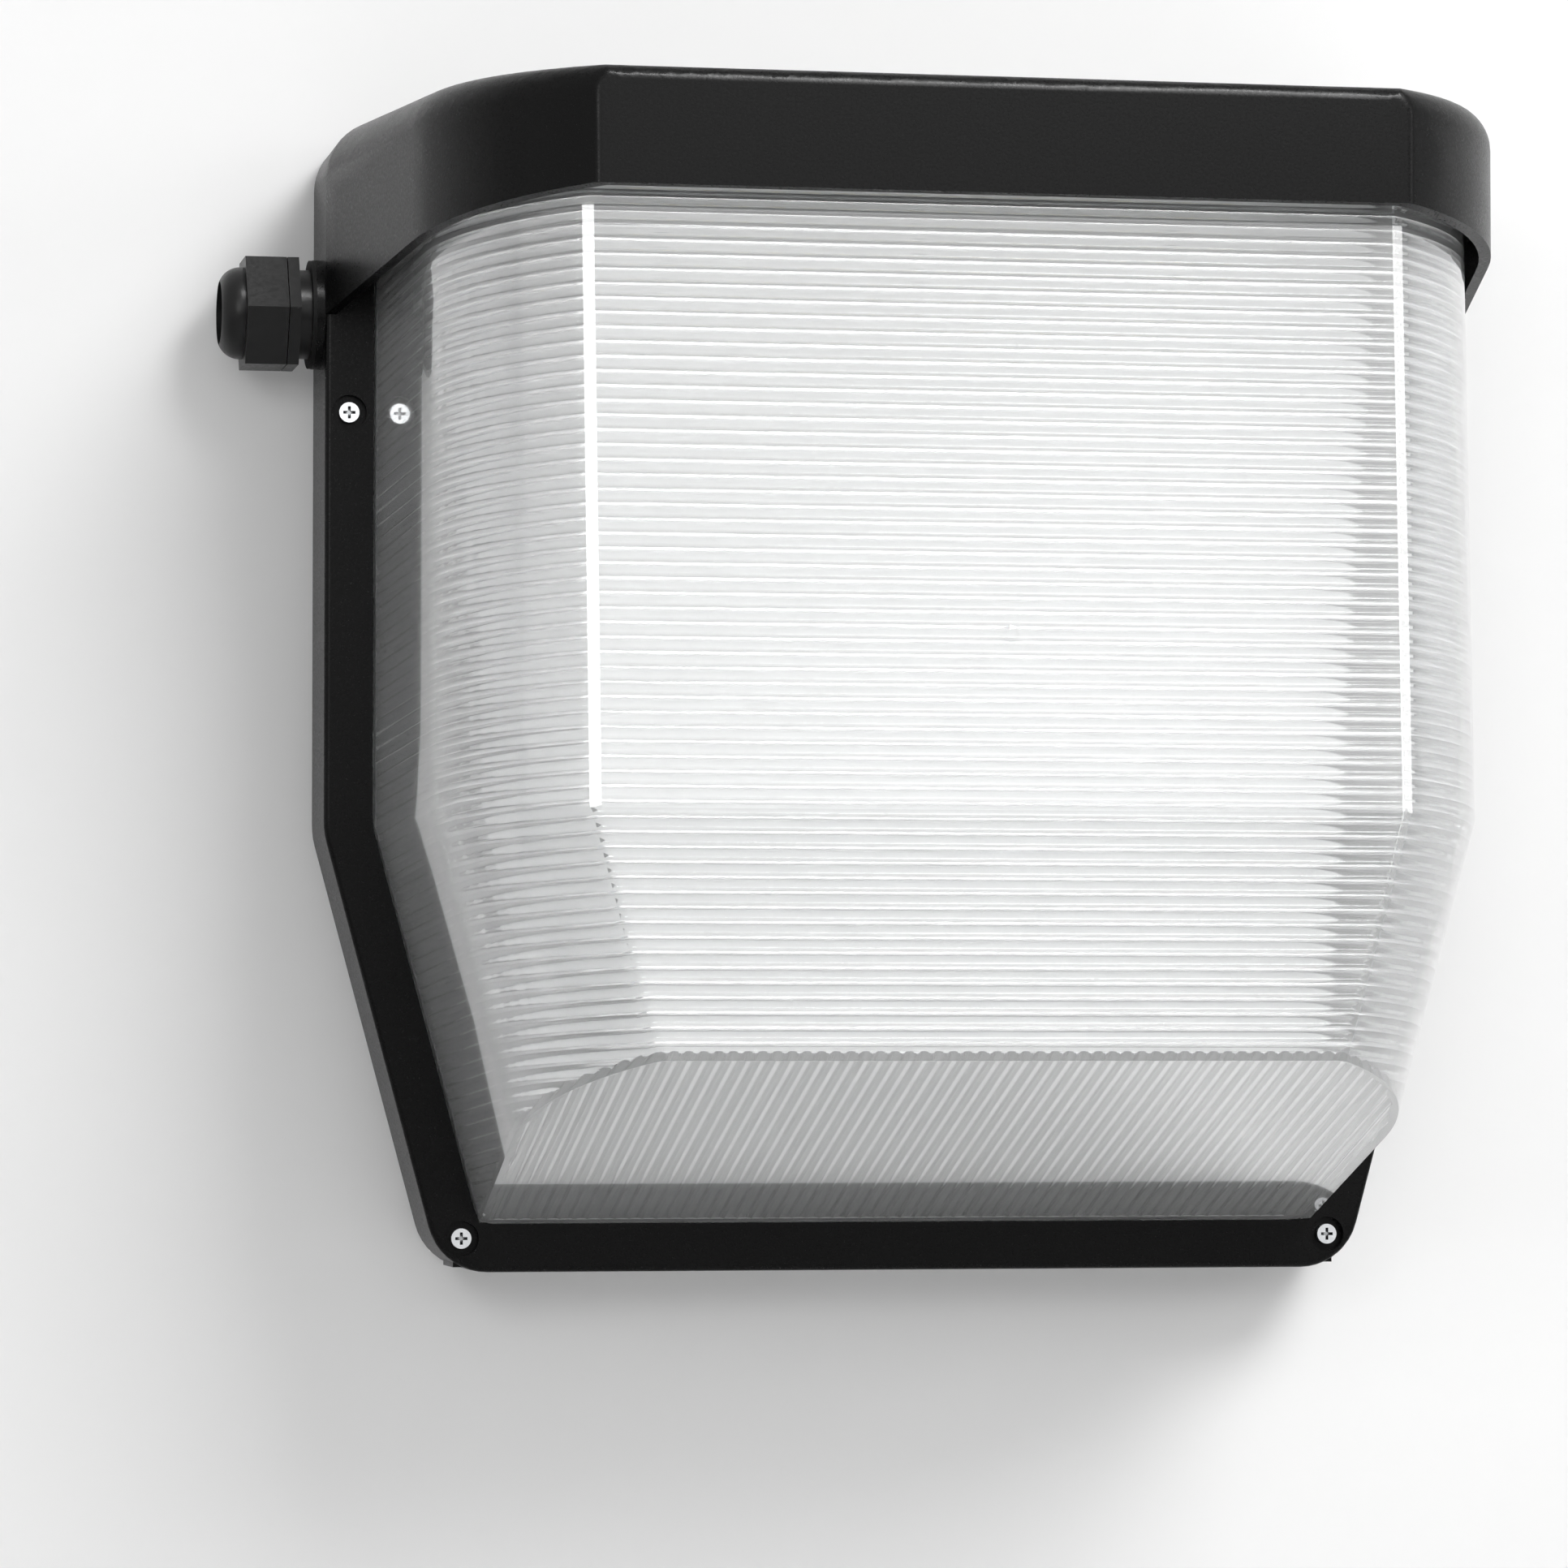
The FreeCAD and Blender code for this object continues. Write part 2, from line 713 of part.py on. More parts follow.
def build_cover():
    body = new_body("CoverCasting")
    skirt = outline_pad(body, "skirt", cover_rear, S.frame_depth - cover_rear, size(0),
                        frame_radii(size(0)))
    doc.recompute()
    front_edges = edge_names(skirt.Shape, lambda edge: lies_at(edge, S.frame_depth))
    fillet(body, "skirt_front_edge", skirt, front_edges, S.edge_radius)
    add_hood(body)
    outline_cut(body, "inside", cover_rear - 1, flange_rear - cover_rear + 1, S.wall, frame_radii(S.wall))
    hollow = hood_sections(body, "hollow_section", S.wall, S.rim_height / 2)
    loft(body, "SubtractiveLoft", "hood_hollow_side", hollow[:2], True)
    loft(body, "SubtractiveLoft", "hood_hollow_front", hollow[1:], False)
    outline_cut(body, "opening", flange_rear - 1, S.flange_thickness + 2, S.flange_width, opening_radii)
    add_pillars(body)
    pad_circles(body, "clip_bosses", clip_spots, S.clip_boss_radius, lens_rear, flange_rear + 1 - lens_rear)
    pad_circles(body, "tray_posts", tray_spots, S.clip_boss_radius, post_rear, flange_rear + 1 - post_rear)
    cut_circles(body, "clip_screw_holes", clip_spots, S.clip_screw_radius, lens_rear - 1,
                S.clip_screw_depth + 1)
    cut_circles(body, "tray_screw_holes", tray_spots, S.tray_screw_radius, post_rear - 1,
                S.clip_screw_depth + 1)
    add_knuckles(body)
    add_gland_boss(body)
    return keep("cover_casting", body)


# ---- back plate and what is fixed to it -----------------------------------------------------------------

plate_inset = S.plate_setback
fixing_spots = [(x * S.fixing_spacing_across / 2, z * S.fixing_spacing_up / 2 - S.fixing_drop)
                for x in (-1, 1) for z in (-1, 1)]


def build_back_plate():
    body = new_body("BackPlate")
    outline_pad(body, "plate", size(0), S.plate_thickness, plate_inset, frame_radii(plate_inset))
    # ribs run between the pads of the fixing holes
    rib = S.plate_rib_thickness / 2
    across = S.fixing_spacing_across / 2
    up = S.fixing_spacing_up / 2
    sketch = front_sketch(body, "rib_outline", S.plate_thickness)
    for z in (up - S.fixing_drop, -up - S.fixing_drop):
        draw_box(sketch, -across, across, z - rib, z + rib)
    pad(body, "cross_ribs", sketch, S.plate_rib_height)
    sketch = front_sketch(body, "upright_rib_outline", S.plate_thickness)
    for x in (-across, across):
        draw_box(sketch, x - rib, x + rib, -up - S.fixing_drop, up - S.fixing_drop)
    pad(body, "upright_ribs", sketch, S.plate_rib_height)
    pad_circles(body, "fixing_pads", fixing_spots, S.fixing_pad_radius, S.plate_thickness,
                S.plate_rib_height)
    cut_circles(body, "fixing_holes", fixing_spots, S.fixing_radius, size(-1),
                S.plate_thickness + S.plate_rib_height + 2)
    cut_circles(body, "cable_hole", [(size(0), -S.entry_drop)], S.entry_radius, size(-1),
                S.plate_thickness + 2)
    pad_circles(body, "insert_bosses", screw_spots.values(), S.insert_boss_radius, S.plate_thickness,
                boss_front - S.plate_thickness)
    cut_circles(body, "insert_holes", screw_spots.values(), S.insert_radius, boss_front - S.insert_length,
                S.insert_length + 1)
    cut_circles(body, "screw_tip_holes", screw_spots.values(), S.cover_screw_radius + S.tip_clearance,
                S.plate_thickness, boss_front - S.plate_thickness)
    pad_circles(body, "earth_boss", [(S.earth_across, -S.earth_drop)], S.earth_boss_radius,
                S.plate_thickness, S.plate_rib_height)
    cut_circles(body, "earth_hole", [(S.earth_across, -S.earth_drop)], S.earth_screw_radius,
                S.plate_thickness, S.plate_rib_height + 1)
    for side, hinge in (("left", -S.hinge_spacing / 2), ("right", S.hinge_spacing / 2)):
        start = hinge - S.plate_ear_length / 2
        low = hinge_height - S.hinge_barrel_radius
        high = hinge_height + S.hinge_barrel_radius
        sketch = new_sketch(body, "ear_%s_outline" % side, "YZ_Plane", start)
        draw_outline(sketch, [(size(0), S.frame_half_height - 2 * plate_inset - S.plate_thickness),
                              (size(0), high),
                              (-S.hinge_forward, high), (-S.hinge_forward, low), (-S.plate_thickness, low),
                              (-S.plate_thickness,
                               S.frame_half_height - 2 * plate_inset - S.plate_thickness)])
        pad(body, "ear_" + side, sketch, S.plate_ear_length)
        sketch = new_sketch(body, "ear_barrel_%s_outline" % side, "YZ_Plane", start)
        draw_circle(sketch, -S.hinge_forward, hinge_height, S.hinge_barrel_radius)
        pad(body, "ear_barrel_" + side, sketch, S.plate_ear_length)
        sketch = new_sketch(body, "ear_bore_%s_outline" % side, "YZ_Plane", start - 1)
        draw_circle(sketch, -S.hinge_forward, hinge_height, S.hinge_pin_radius)
        cut(body, "ear_bore_" + side, sketch, S.plate_ear_length + 2)
    return keep("back_plate", body)


def build_plate_gasket():
    body = new_body("PlateGasket")
    outline_pad(body, "gasket", S.plate_thickness, S.plate_gasket_height, plate_inset,
                frame_radii(plate_inset))
    inner = plate_inset + S.gasket_width
    outline_cut(body, "gasket_inside", S.plate_thickness - 1, S.plate_gasket_height + 2, inner,
                frame_radii(inner))
    return keep("plate_gasket", body)


def build_inserts():
    rings = []
    for name, (x, z) in screw_spots.items():
        ring = cylinder("insert_" + name, S.insert_radius, S.insert_length, x,
                        boss_front - S.insert_length, z)
        bore = cylinder("insert_bore_" + name, S.cover_screw_radius + S.tip_clearance, S.insert_length + 2,
                        x, boss_front - S.insert_length - 1, z)
        rings.append(subtract("insert_ring_" + name, ring, bore))
    return keep("thread_inserts", group("ThreadInserts", rings))


def build_hinge_pins():
    reach = S.plate_ear_length / 2 + S.knuckle_gap + S.cover_knuckle_length + S.part_gap
    for side, hinge in (("left", -S.hinge_spacing / 2), ("right", S.hinge_spacing / 2)):
        shank = cylinder("pin_" + side, S.hinge_pin_radius, 2 * reach, hinge - reach, S.hinge_forward,
                         hinge_height, RIGHTWARDS)
        head = cylinder("pin_head_" + side, S.pin_head_radius, S.pin_head_height,
                        hinge - reach - S.pin_head_height, S.hinge_forward, hinge_height, RIGHTWARDS)
        tail = cylinder("pin_tail_" + side, S.pin_head_radius, S.pin_head_height,
                        hinge + reach, S.hinge_forward, hinge_height, RIGHTWARDS)
        keep("hinge_pin_" + side, fuse("HingePin_" + side, [shank, head, tail]))


def build_plate_fittings():
    plug = cylinder("grommet_plug", S.entry_radius, S.plate_thickness - S.part_gap, 0, S.part_gap,
                    -S.entry_drop)
    collar = cylinder("grommet_collar", S.entry_radius + S.grommet_lip, S.grommet_height, 0,
                      S.plate_thickness, -S.entry_drop)
    keep("entry_grommet", fuse("EntryGrommet", [plug, collar]))
    washer_rear = S.plate_thickness + S.plate_rib_height
    washer = cylinder("earth_washer", S.earth_washer_radius, S.earth_washer_height, S.earth_across,
                      washer_rear, -S.earth_drop)
    stud = screw("earth_screw", S.earth_across, -S.earth_drop, washer_rear + S.earth_washer_height,
                 S.plate_rib_height + S.earth_washer_height, S.earth_head_radius, S.earth_head_height,
                 S.earth_screw_radius)
    keep("earth_stud_screw", fuse("EarthStudScrew", [washer, stud]))


# ---- lens -----------------------------------------------------------------------------------------------

lens_bend = lens_inset * half_turn - S.bend_drop


def lens_half_width(level):
    # half-width of the bowl where it leaves the frame
    side = S.frame_half_width - lens_inset
    if size(level).number >= lens_bend.number:
        return side
    return side - S.side_taper * (lens_bend - level)


def lens_front(level):
    # how far the front facet stands before the flange; it leans back above the bend, and a little below
    if size(level).number >= lens_bend.number:
        return S.lens_reach - S.lens_lean * (level - lens_bend)
    return S.lens_reach - S.lens_lower_lean * (lens_bend - level)


def lens_side_depth(level):
    # the corners keep their shape over the height, so the sides shorten as the facet leans back
    return S.lens_straight + lens_front(level) - S.lens_reach


def draw_lens_plan(sketch, level):
    half, front, straight = lens_half_width(level), lens_front(level), lens_side_depth(level)
    draft, radius = S.lens_draft, S.lens_corner_radius
    side = half - straight * sine(draft) / cosine(draft)
    centre_x = side - radius * cosine(draft)
    centre_d = straight - radius * sine(draft)
    rise = front - centre_d
    facet = centre_x + root(radius * radius - rise * rise)
    base_y = -S.frame_depth
    side_y = base_y - straight
    front_y = base_y - front
    middle = (base_y - centre_d).number
    start = math.atan2(side_y.number - middle, (side - centre_x).number)
    end = math.atan2(front_y.number - middle, (facet - centre_x).number)
    up = FreeCAD.Vector(0, 0, 1)
    right = Part.ArcOfCircle(Part.Circle(vector(centre_x, middle), up, radius.number), end, start)
    left = Part.ArcOfCircle(Part.Circle(vector(-centre_x, middle), up, radius.number),
                            math.pi - start, math.pi - end)
    pieces = [
        Part.LineSegment(vector(half, base_y), vector(side, side_y)),
        right,
        Part.LineSegment(vector(facet, front_y), vector(-facet, front_y)),
        left,
        Part.LineSegment(vector(-side, side_y), vector(-half, base_y)),
        Part.LineSegment(vector(-half, base_y), vector(half, base_y)),
    ]
    chain(sketch, pieces,
          [(0, 2, 1, 2), (1, 1, 2, 1), (2, 2, 3, 2), (3, 1, 4, 1), (4, 2, 5, 1), (5, 2, 0, 1)])
    pin_point(sketch, 5, 1, -half, base_y)
    pin_point(sketch, 5, 2, half, base_y)
    pin_point(sketch, 1, 2, side, side_y)
    pin_point(sketch, 1, 1, facet, front_y)
    pin_point(sketch, 3, 1, -side, side_y)
    pin_point(sketch, 3, 2, -facet, front_y)
    for index in (1, 3):
        row = sketch.addConstraint(Sketcher.Constraint("Radius", index, radius.number))
        sketch.setExpression("Constraints[%d]" % row, radius.text)


def build_lens_bowl():
    # clamping flange and collar behind the casting's flange, then the bowl before it
    body = new_body("LensBowl")
    flange_inset = lens_inset - S.lens_flange_overlap
    outline_pad(body, "lens_flange", lens_rear, S.lens_flange_thickness, flange_inset,
                lens_flange_radii(flange_inset))
    outline_pad(body, "lens_collar", lens_rear, S.frame_depth - lens_rear, lens_inset, lens_radii)
    inner = lens_inset + S.lens_wall
    outline_cut(body, "lens_mouth", lens_rear - 1, S.frame_depth - lens_rear + 1, inner,
                (S.opening_top_radius, S.lens_foot_radius, S.bend_radius))
    levels = [S.frame_half_height, lens_bend, -S.frame_half_height]
    sections = []
    for number, level in enumerate(levels):
        sketch = new_sketch(body, "lens_plan_%d" % number, "XY_Plane", level)
        draw_lens_plan(sketch, level)
        sections.append(sketch)
    loft(body, "AdditiveLoft", "lens_bowl", sections, True)
    top = S.frame_half_height - lens_inset
    rear_y = 1 - S.frame_depth
    front_y = -S.frame_depth - S.lens_reach - 1
    fall = S.lens_top_fall / S.lens_reach
    rise = S.lens_bottom_rise / S.lens_reach
    beyond = 2 * S.frame_half_height
    width = S.frame_half_width
    sketch = new_sketch(body, "lens_top_outline", "YZ_Plane", -width)
    draw_outline(sketch, [(-S.frame_depth, top), (-S.frame_depth, beyond), (front_y, beyond),
                          (front_y, top - fall * (S.lens_reach + 1))])
    cut(body, "lens_top", sketch, 2 * width)
    sketch = new_sketch(body, "lens_bottom_outline", "YZ_Plane", -width)
    draw_outline(sketch, [(-S.frame_depth, -top), (-S.frame_depth, -beyond), (front_y, -beyond),
                          (front_y, rise * (S.lens_reach + 1) - top)])
    bottom = cut(body, "lens_bottom", sketch, 2 * width)
    doc.recompute()
    along_z = FreeCAD.Vector(0, 0, 1)

    def facet_edge(edge):
        # the leaning edges between the front facet and the rounded corners
        box = edge.BoundBox
        steep = box.ZLength > 20 and len(edge.Vertexes) == 2 and box.YMax < (side_arc_y - 1)
        return steep and abs(edge.tangentAt(edge.FirstParameter) * along_z) > 0.9

    side_arc_y = -(S.frame_depth + S.lens_straight).number
    fillet(body, "lens_facet_edges", bottom, edge_names(bottom.Shape, facet_edge), S.lens_edge_radius)

    return body



def lens_hollow_wire(base_level, inset):
    # one rib line on the inside: a plan section that tips back towards the wall
    tilt = math.tan(math.radians(S.lens_rib_tilt.number))
    draft = math.radians(S.lens_draft.number)
    depth = S.frame_depth.number
    radius = S.lens_corner_radius.number

    def level(forward):
        return base_level + tilt * forward

    def half(forward):
        return lens_half_width(size(level(forward))).number

    def at(x, forward):
        return FreeCAD.Vector(x, -depth - forward, level(forward))

    front_level = size(level(S.lens_reach.number))
    reach = lens_front(front_level).number
    straight = lens_side_depth(front_level).number
    side = half(straight) - straight * math.tan(draft)
    centre_x = side - radius * math.cos(draft)
    centre_d = straight - radius * math.sin(draft)
    round_radius = radius - inset
    last = math.asin((reach - inset - centre_d) / round_radius)
    lift = half(reach) - half(straight)

    def on_arc(angle):
        share = (angle - draft) / (last - draft)
        forward = centre_d + round_radius * math.sin(angle)
        return (centre_x + round_radius * math.cos(angle) + share * lift, forward)

    start, middle, end = on_arc(draft), on_arc(0.5 * (draft + last)), on_arc(last)
    base = half(0) - inset
    lead = -S.lens_wall.number / 4
    right = [at(base, lead), at(*start), at(*middle), at(*end)]
    left = [FreeCAD.Vector(-point.x, point.y, point.z) for point in right]
    edges = [
        Part.LineSegment(right[0], right[1]).toShape(),
        Part.Arc(right[1], right[2], right[3]).toShape(),
        Part.LineSegment(right[3], left[3]).toShape(),
        Part.Arc(left[3], left[2], left[1]).toShape(),
        Part.LineSegment(left[1], left[0]).toShape(),
        Part.LineSegment(left[0], right[0]).toShape(),
    ]
    return Part.Wire(edges)


def lens_hollow_limits():
    # a wedge between the bowl's ceiling and its floor; the floor carries ribs that run front to back
    wall = S.lens_wall.number
    top = (S.frame_half_height - lens_inset).number
    depth = S.frame_depth.number
    reach = S.lens_reach.number
    rise = S.lens_bottom_rise.number / reach
    fall = S.lens_top_fall.number / reach
    pitch = S.lens_rib_pitch.number
    height = S.lens_rib_height.number
    rear = S.lens_wall.number
    floor = wall * math.sqrt(1 + rise * rise) - top - rise * rear
    ceiling = top - wall + fall * rear
    count = int(S.frame_half_width.number // pitch)
    points = []
    for number in range(-2 * count, 2 * count + 1):
        points.append(FreeCAD.Vector(number * pitch / 2, rear - depth,
                                     floor + (height if number % 2 else 0)))
    edge = 0.5 * pitch * 2 * count
    points.append(FreeCAD.Vector(edge, rear - depth, 2 * top))
    points.append(FreeCAD.Vector(-edge, rear - depth, 2 * top))
    points.append(points[0])
    face = Part.Face(Part.makePolygon(points))
    grooved = face.extrude(FreeCAD.Vector(0, -2 * reach, 2 * reach * rise))
    lid = Part.makePolygon([
        FreeCAD.Vector(-edge - 1, rear + 1 - depth, ceiling),
        FreeCAD.Vector(-edge - 1, rear + 1 - depth, 4 * top),
        FreeCAD.Vector(-edge - 1, -depth - 3 * reach, 4 * top),
        FreeCAD.Vector(-edge - 1, -depth - 3 * reach, ceiling - 3 * fall * reach),
        FreeCAD.Vector(-edge - 1, rear + 1 - depth, ceiling)])
    above = Part.Face(lid).extrude(FreeCAD.Vector(2 * edge + 2, 0, 0))
    return grooved.cut(above)


def build_lens():
    body = build_lens_bowl()
    half_pitch = S.lens_rib_pitch.number / 2
    top = S.frame_half_height.number
    wires = []
    level = -top
    crest = False
    while level < top:
        inset = S.lens_wall.number + (S.lens_rib_height.number if crest else 0)
        wires.append(lens_hollow_wire(level, inset))
        crest = not crest
        level += half_pitch
    hollow = doc.addObject("Part::Feature", "LensHollow")
    hollow.Shape = Part.makeLoft(wires, True, True).common(lens_hollow_limits())
    return keep("refractor_lens", subtract("RefractorLens", body, hollow))


def build_lens_gasket():
    body = new_body("LensGasket")
    outer = lens_inset - S.lens_flange_overlap
    outline_pad(body, "seal", gasket_rear, S.lens_gasket_thickness, outer, lens_flange_radii(outer))
    inner = S.flange_width
    outline_cut(body, "seal_inside", gasket_rear - 1, S.lens_gasket_thickness + 2, inner, opening_radii)
    return keep("lens_gasket", body)


def build_clips():
    screws = []
    for number, (x, z) in enumerate(clip_spots, start=1):
        on_side = abs(x.number) > abs(z.number)
        start = S.clip_boss_radius
        if on_side:
            outer = 1 if x.number > 0 else -1
            low = x - S.clip_length + start if outer > 0 else x - start
            plate = block("clip_plate_%d" % number, low, S.clip_length, clip_rear, S.clip_thickness,
                          z - S.clip_width / 2, S.clip_width)
        else:
            outer = 1 if z.number > 0 else -1
            low = z - S.clip_length + start if outer > 0 else z - start
            plate = block("clip_plate_%d" % number, x - S.clip_width / 2, S.clip_width, clip_rear,
                          S.clip_thickness, low, S.clip_length)
        hole = cylinder("clip_hole_%d" % number, S.clip_screw_radius, S.clip_thickness + 2, x,
                        clip_rear - 1, z)
        keep("lens_clip_%d" % number, subtract("LensClip_%d" % number, plate, hole))
        screws.append(screw("clip_screw_%d" % number, x, z, clip_rear,
                            S.clip_thickness + S.clip_screw_depth, S.small_head_radius,
                            S.small_head_height, S.clip_screw_radius, from_front=False))
    keep("lens_clip_screws", group("LensClipScrews", screws))


# ---- reflector tray, light source, driver and terminals -------------------------------------------------

def draw_rounded(sketch, points, radius):
    # closed outline with the same radius at every corner; points go clockwise
    count = len(points)
    ends = []
    for index, (x, y) in enumerate(points):
        before, after = points[index - 1], points[(index + 1) % count]
        ax, ay, bx, by = before[0] - x, before[1] - y, after[0] - x, after[1] - y
        a, b = root(ax * ax + ay * ay), root(bx * bx + by * by)
        turn = (ax * bx + ay * by) / (a * b)
        reach = radius * root((1 + turn) / (1 - turn))
        start = (x + ax / a * reach, y + ay / a * reach)
        end = (x + bx / b * reach, y + by / b * reach)
        centre = (start[0] - ay / a * radius, start[1] + ax / a * radius)
        ends.append((start, end))
        low = math.atan2((end[1] - centre[1]).number, (end[0] - centre[0]).number)
        high = math.atan2((start[1] - centre[1]).number, (start[0] - centre[0]).number)
        if high < low:
            high += 2 * math.pi
        circle = Part.Circle(vector(*centre), FreeCAD.Vector(0, 0, 1), size(radius).number)
        sketch.addGeometry(Part.ArcOfCircle(circle, low, high), False)
    for index, (start, end) in enumerate(ends):
        pin_point(sketch, index, 2, *start)
        pin_point(sketch, index, 1, *end)
        row = sketch.addConstraint(Sketcher.Constraint("Radius", index, size(radius).number))
        sketch.setExpression("Constraints[%d]" % row, size(radius).text)
    for index, (start, end) in enumerate(ends):
        following = (index + 1) % count
        line = sketch.addGeometry(Part.LineSegment(vector(*end), vector(*ends[following][0])), False)
        sketch.addConstraint(Sketcher.Constraint("Coincident", line, 1, index, 1))
        sketch.addConstraint(Sketcher.Constraint("Coincident", line, 2, following, 2))


def tray_sections(body, name, rear, front, inset):
    # the tray narrows towards the bottom and flares towards its rear rim
    sections = []
    for end, forward, grow in (("rear", rear, S.tray_flare - inset), ("front", front, -inset)):
        sketch = front_sketch(body, "%s_%s" % (name, end), forward)
        top = S.tray_top + grow
        bottom = -S.tray_bottom_drop - grow
        high = S.tray_half_width_top + grow
        low = S.tray_half_width_bottom + grow
        draw_rounded(sketch, [(high, top), (low, bottom), (-low, bottom), (-high, top)],
                     S.tray_corner - inset)
        sections.append(sketch)
    return sections


def build_tray():
    body = new_body("ReflectorTray")
    rear = clip_rear - S.part_gap - S.tray_sheet
    loft(body, "AdditiveLoft", "tray_pan", tray_sections(body, "pan", rear, tray_front, size(0)), True)
    hollow = tray_sections(body, "hollow", rear, tray_back, S.tray_sheet)
    loft(body, "SubtractiveLoft", "tray_hollow", hollow, True)
    # arms reach from the rim over the lens flange to the posts
    half = S.tray_arm_width / 2
    sketch = front_sketch(body, "tray_arm_outline", rear)
    for x, z in tray_spots:
        sign = 1 if x.number > 0 else -1
        inner = S.tray_half_width_bottom + S.tray_flare + S.tray_arm_root
        draw_box(sketch, sign * inner, x + sign * S.clip_boss_radius, z - half, z + half)
    pad(body, "tray_arms", sketch, S.tray_sheet)
    cut_circles(body, "tray_arm_holes", tray_spots, S.tray_screw_radius, rear - 1, S.tray_sheet + 2)
    cut_circles(body, "bracket_screw_holes", bracket_spots, S.clip_screw_radius, tray_back - 1,
                S.tray_sheet + 2)
    keep("reflector_tray", body)
    screws = [screw("tray_screw_%d" % number, x, z, rear, S.tray_sheet + S.clip_screw_depth,
                    S.small_head_radius, S.small_head_height, S.tray_screw_radius, from_front=False)
              for number, (x, z) in enumerate(tray_spots, start=1)]
    keep("tray_screws", group("TrayScrews", screws))


def build_light_source():
    # an angle on the tray's face carries the board under its shelf, looking down behind the hood
    body = new_body("LedBracket")
    sheet_size = S.led_shelf_thickness
    base = tray_front
    sketch = new_sketch(body, "shelf_outline", "YZ_Plane", -S.led_shelf_length / 2)
    top = S.led_shelf_height
    draw_outline(sketch, [(-base, top), (-base - S.led_shelf_depth, top),
                          (-base - S.led_shelf_depth, top - sheet_size),
                          (-base - sheet_size, top - sheet_size),
                          (-base - sheet_size, top - S.led_leg_height), (-base, top - S.led_leg_height)])
    pad(body, "shelf", sketch, S.led_shelf_length)
    cut_circles(body, "leg_holes", bracket_spots, S.clip_screw_radius, base - 1, sheet_size + 2)
    keep("led_bracket", body)
    board_top = top - sheet_size
    board_rear = base + (S.led_shelf_depth + sheet_size - S.led_board_depth) / 2
    keep("led_board", block("LedBoard", -S.led_board_length / 2, S.led_board_length, board_rear,
                            S.led_board_depth, board_top - S.led_board_thickness, S.led_board_thickness))
    chips = []
    columns = int(S.led_board_length.number // S.led_pitch.number)
    chip_z = board_top - S.led_board_thickness - S.led_height
    for row in range(2):
        forward = board_rear + S.led_board_depth * ((row + 0.5) / 2) - S.led_size / 2
        for column in range(columns):
            x = S.led_pitch * (column - (columns - 1) / 2) - S.led_size / 2
            chips.append(block("chip_%d_%d" % (row, column), x, S.led_size, forward, S.led_size, chip_z,
                               S.led_height))
    keep("led_chips", group("LedChips", chips))
    screws = [screw("leg_screw_%d" % number, x, z, base + sheet_size, sheet_size + S.tray_sheet,
                    S.small_head_radius, S.small_head_height, S.clip_screw_radius)
              for number, (x, z) in enumerate(bracket_spots, start=1)]
    keep("led_bracket_screws", group("LedBracketScrews", screws))


def build_driver():
    rear = tray_back - S.driver_height
    inner = S.driver_length / 2 - S.driver_cap_length
    body = new_body("DriverCase")
    sketch = new_sketch(body, "case_outline", "YZ_Plane", -inner)
    centre = -S.driver_drop
    half = S.driver_width / 2
    draw_box(sketch, -tray_back, -rear, centre - half, centre + half)
    case = pad(body, "case", sketch, 2 * inner)
    doc.recompute()
    along_x = FreeCAD.Vector(1, 0, 0)

    def rear_edge(edge):
        return runs_along(edge, along_x) and abs(edge.BoundBox.YMax + rear.number) < 1e-4

    fillet(body, "case_edges", case, edge_names(case.Shape, rear_edge), S.driver_edge_radius)
    keep("driver_case", body)
    caps = []
    screws = []
    for side, sign in (("left", -1), ("right", 1)):
        cap = new_body("DriverCap_" + side)
        start = inner if sign > 0 else -inner - S.driver_cap_length
        sketch = new_sketch(cap, "cap_outline_" + side, "YZ_Plane", start)
        draw_box(sketch, -tray_back, -rear, centre - half, centre + half)
        solid = pad(cap, "cap_" + side, sketch, S.driver_cap_length)
        doc.recompute()
        fillet(cap, "cap_edges_" + side, solid, edge_names(solid.Shape, rear_edge), S.driver_edge_radius)
        sketch = front_sketch(cap, "cap_foot_outline_" + side, tray_back - S.driver_foot_thickness)
        outer = sign * (inner + S.driver_cap_length)
        draw_box(sketch, outer - sign * 1, outer + sign * S.driver_foot_length, centre - half,
                 centre + half)
        pad(cap, "cap_foot_" + side, sketch, S.driver_foot_thickness)
        spots = [(outer + sign * S.driver_foot_length / 2,
                  centre + up * S.driver_width * 0.3) for up in (-1, 1)]
        cut_circles(cap, "cap_foot_holes_" + side, spots, S.clip_screw_radius,
                    tray_back - S.driver_foot_thickness - 1, S.driver_foot_thickness + 2)
        caps.append(cap)
        for number, (x, z) in enumerate(spots, start=1):
            screws.append(screw("driver_screw_%s_%d" % (side, number), x, z,
                                tray_back - S.driver_foot_thickness,
                                S.driver_foot_thickness, S.small_head_radius, S.small_head_height,
                                S.clip_screw_radius, from_front=False))
    keep("driver_end_caps", group("DriverEndCaps", caps))
    keep("driver_screws", group("DriverScrews", screws))


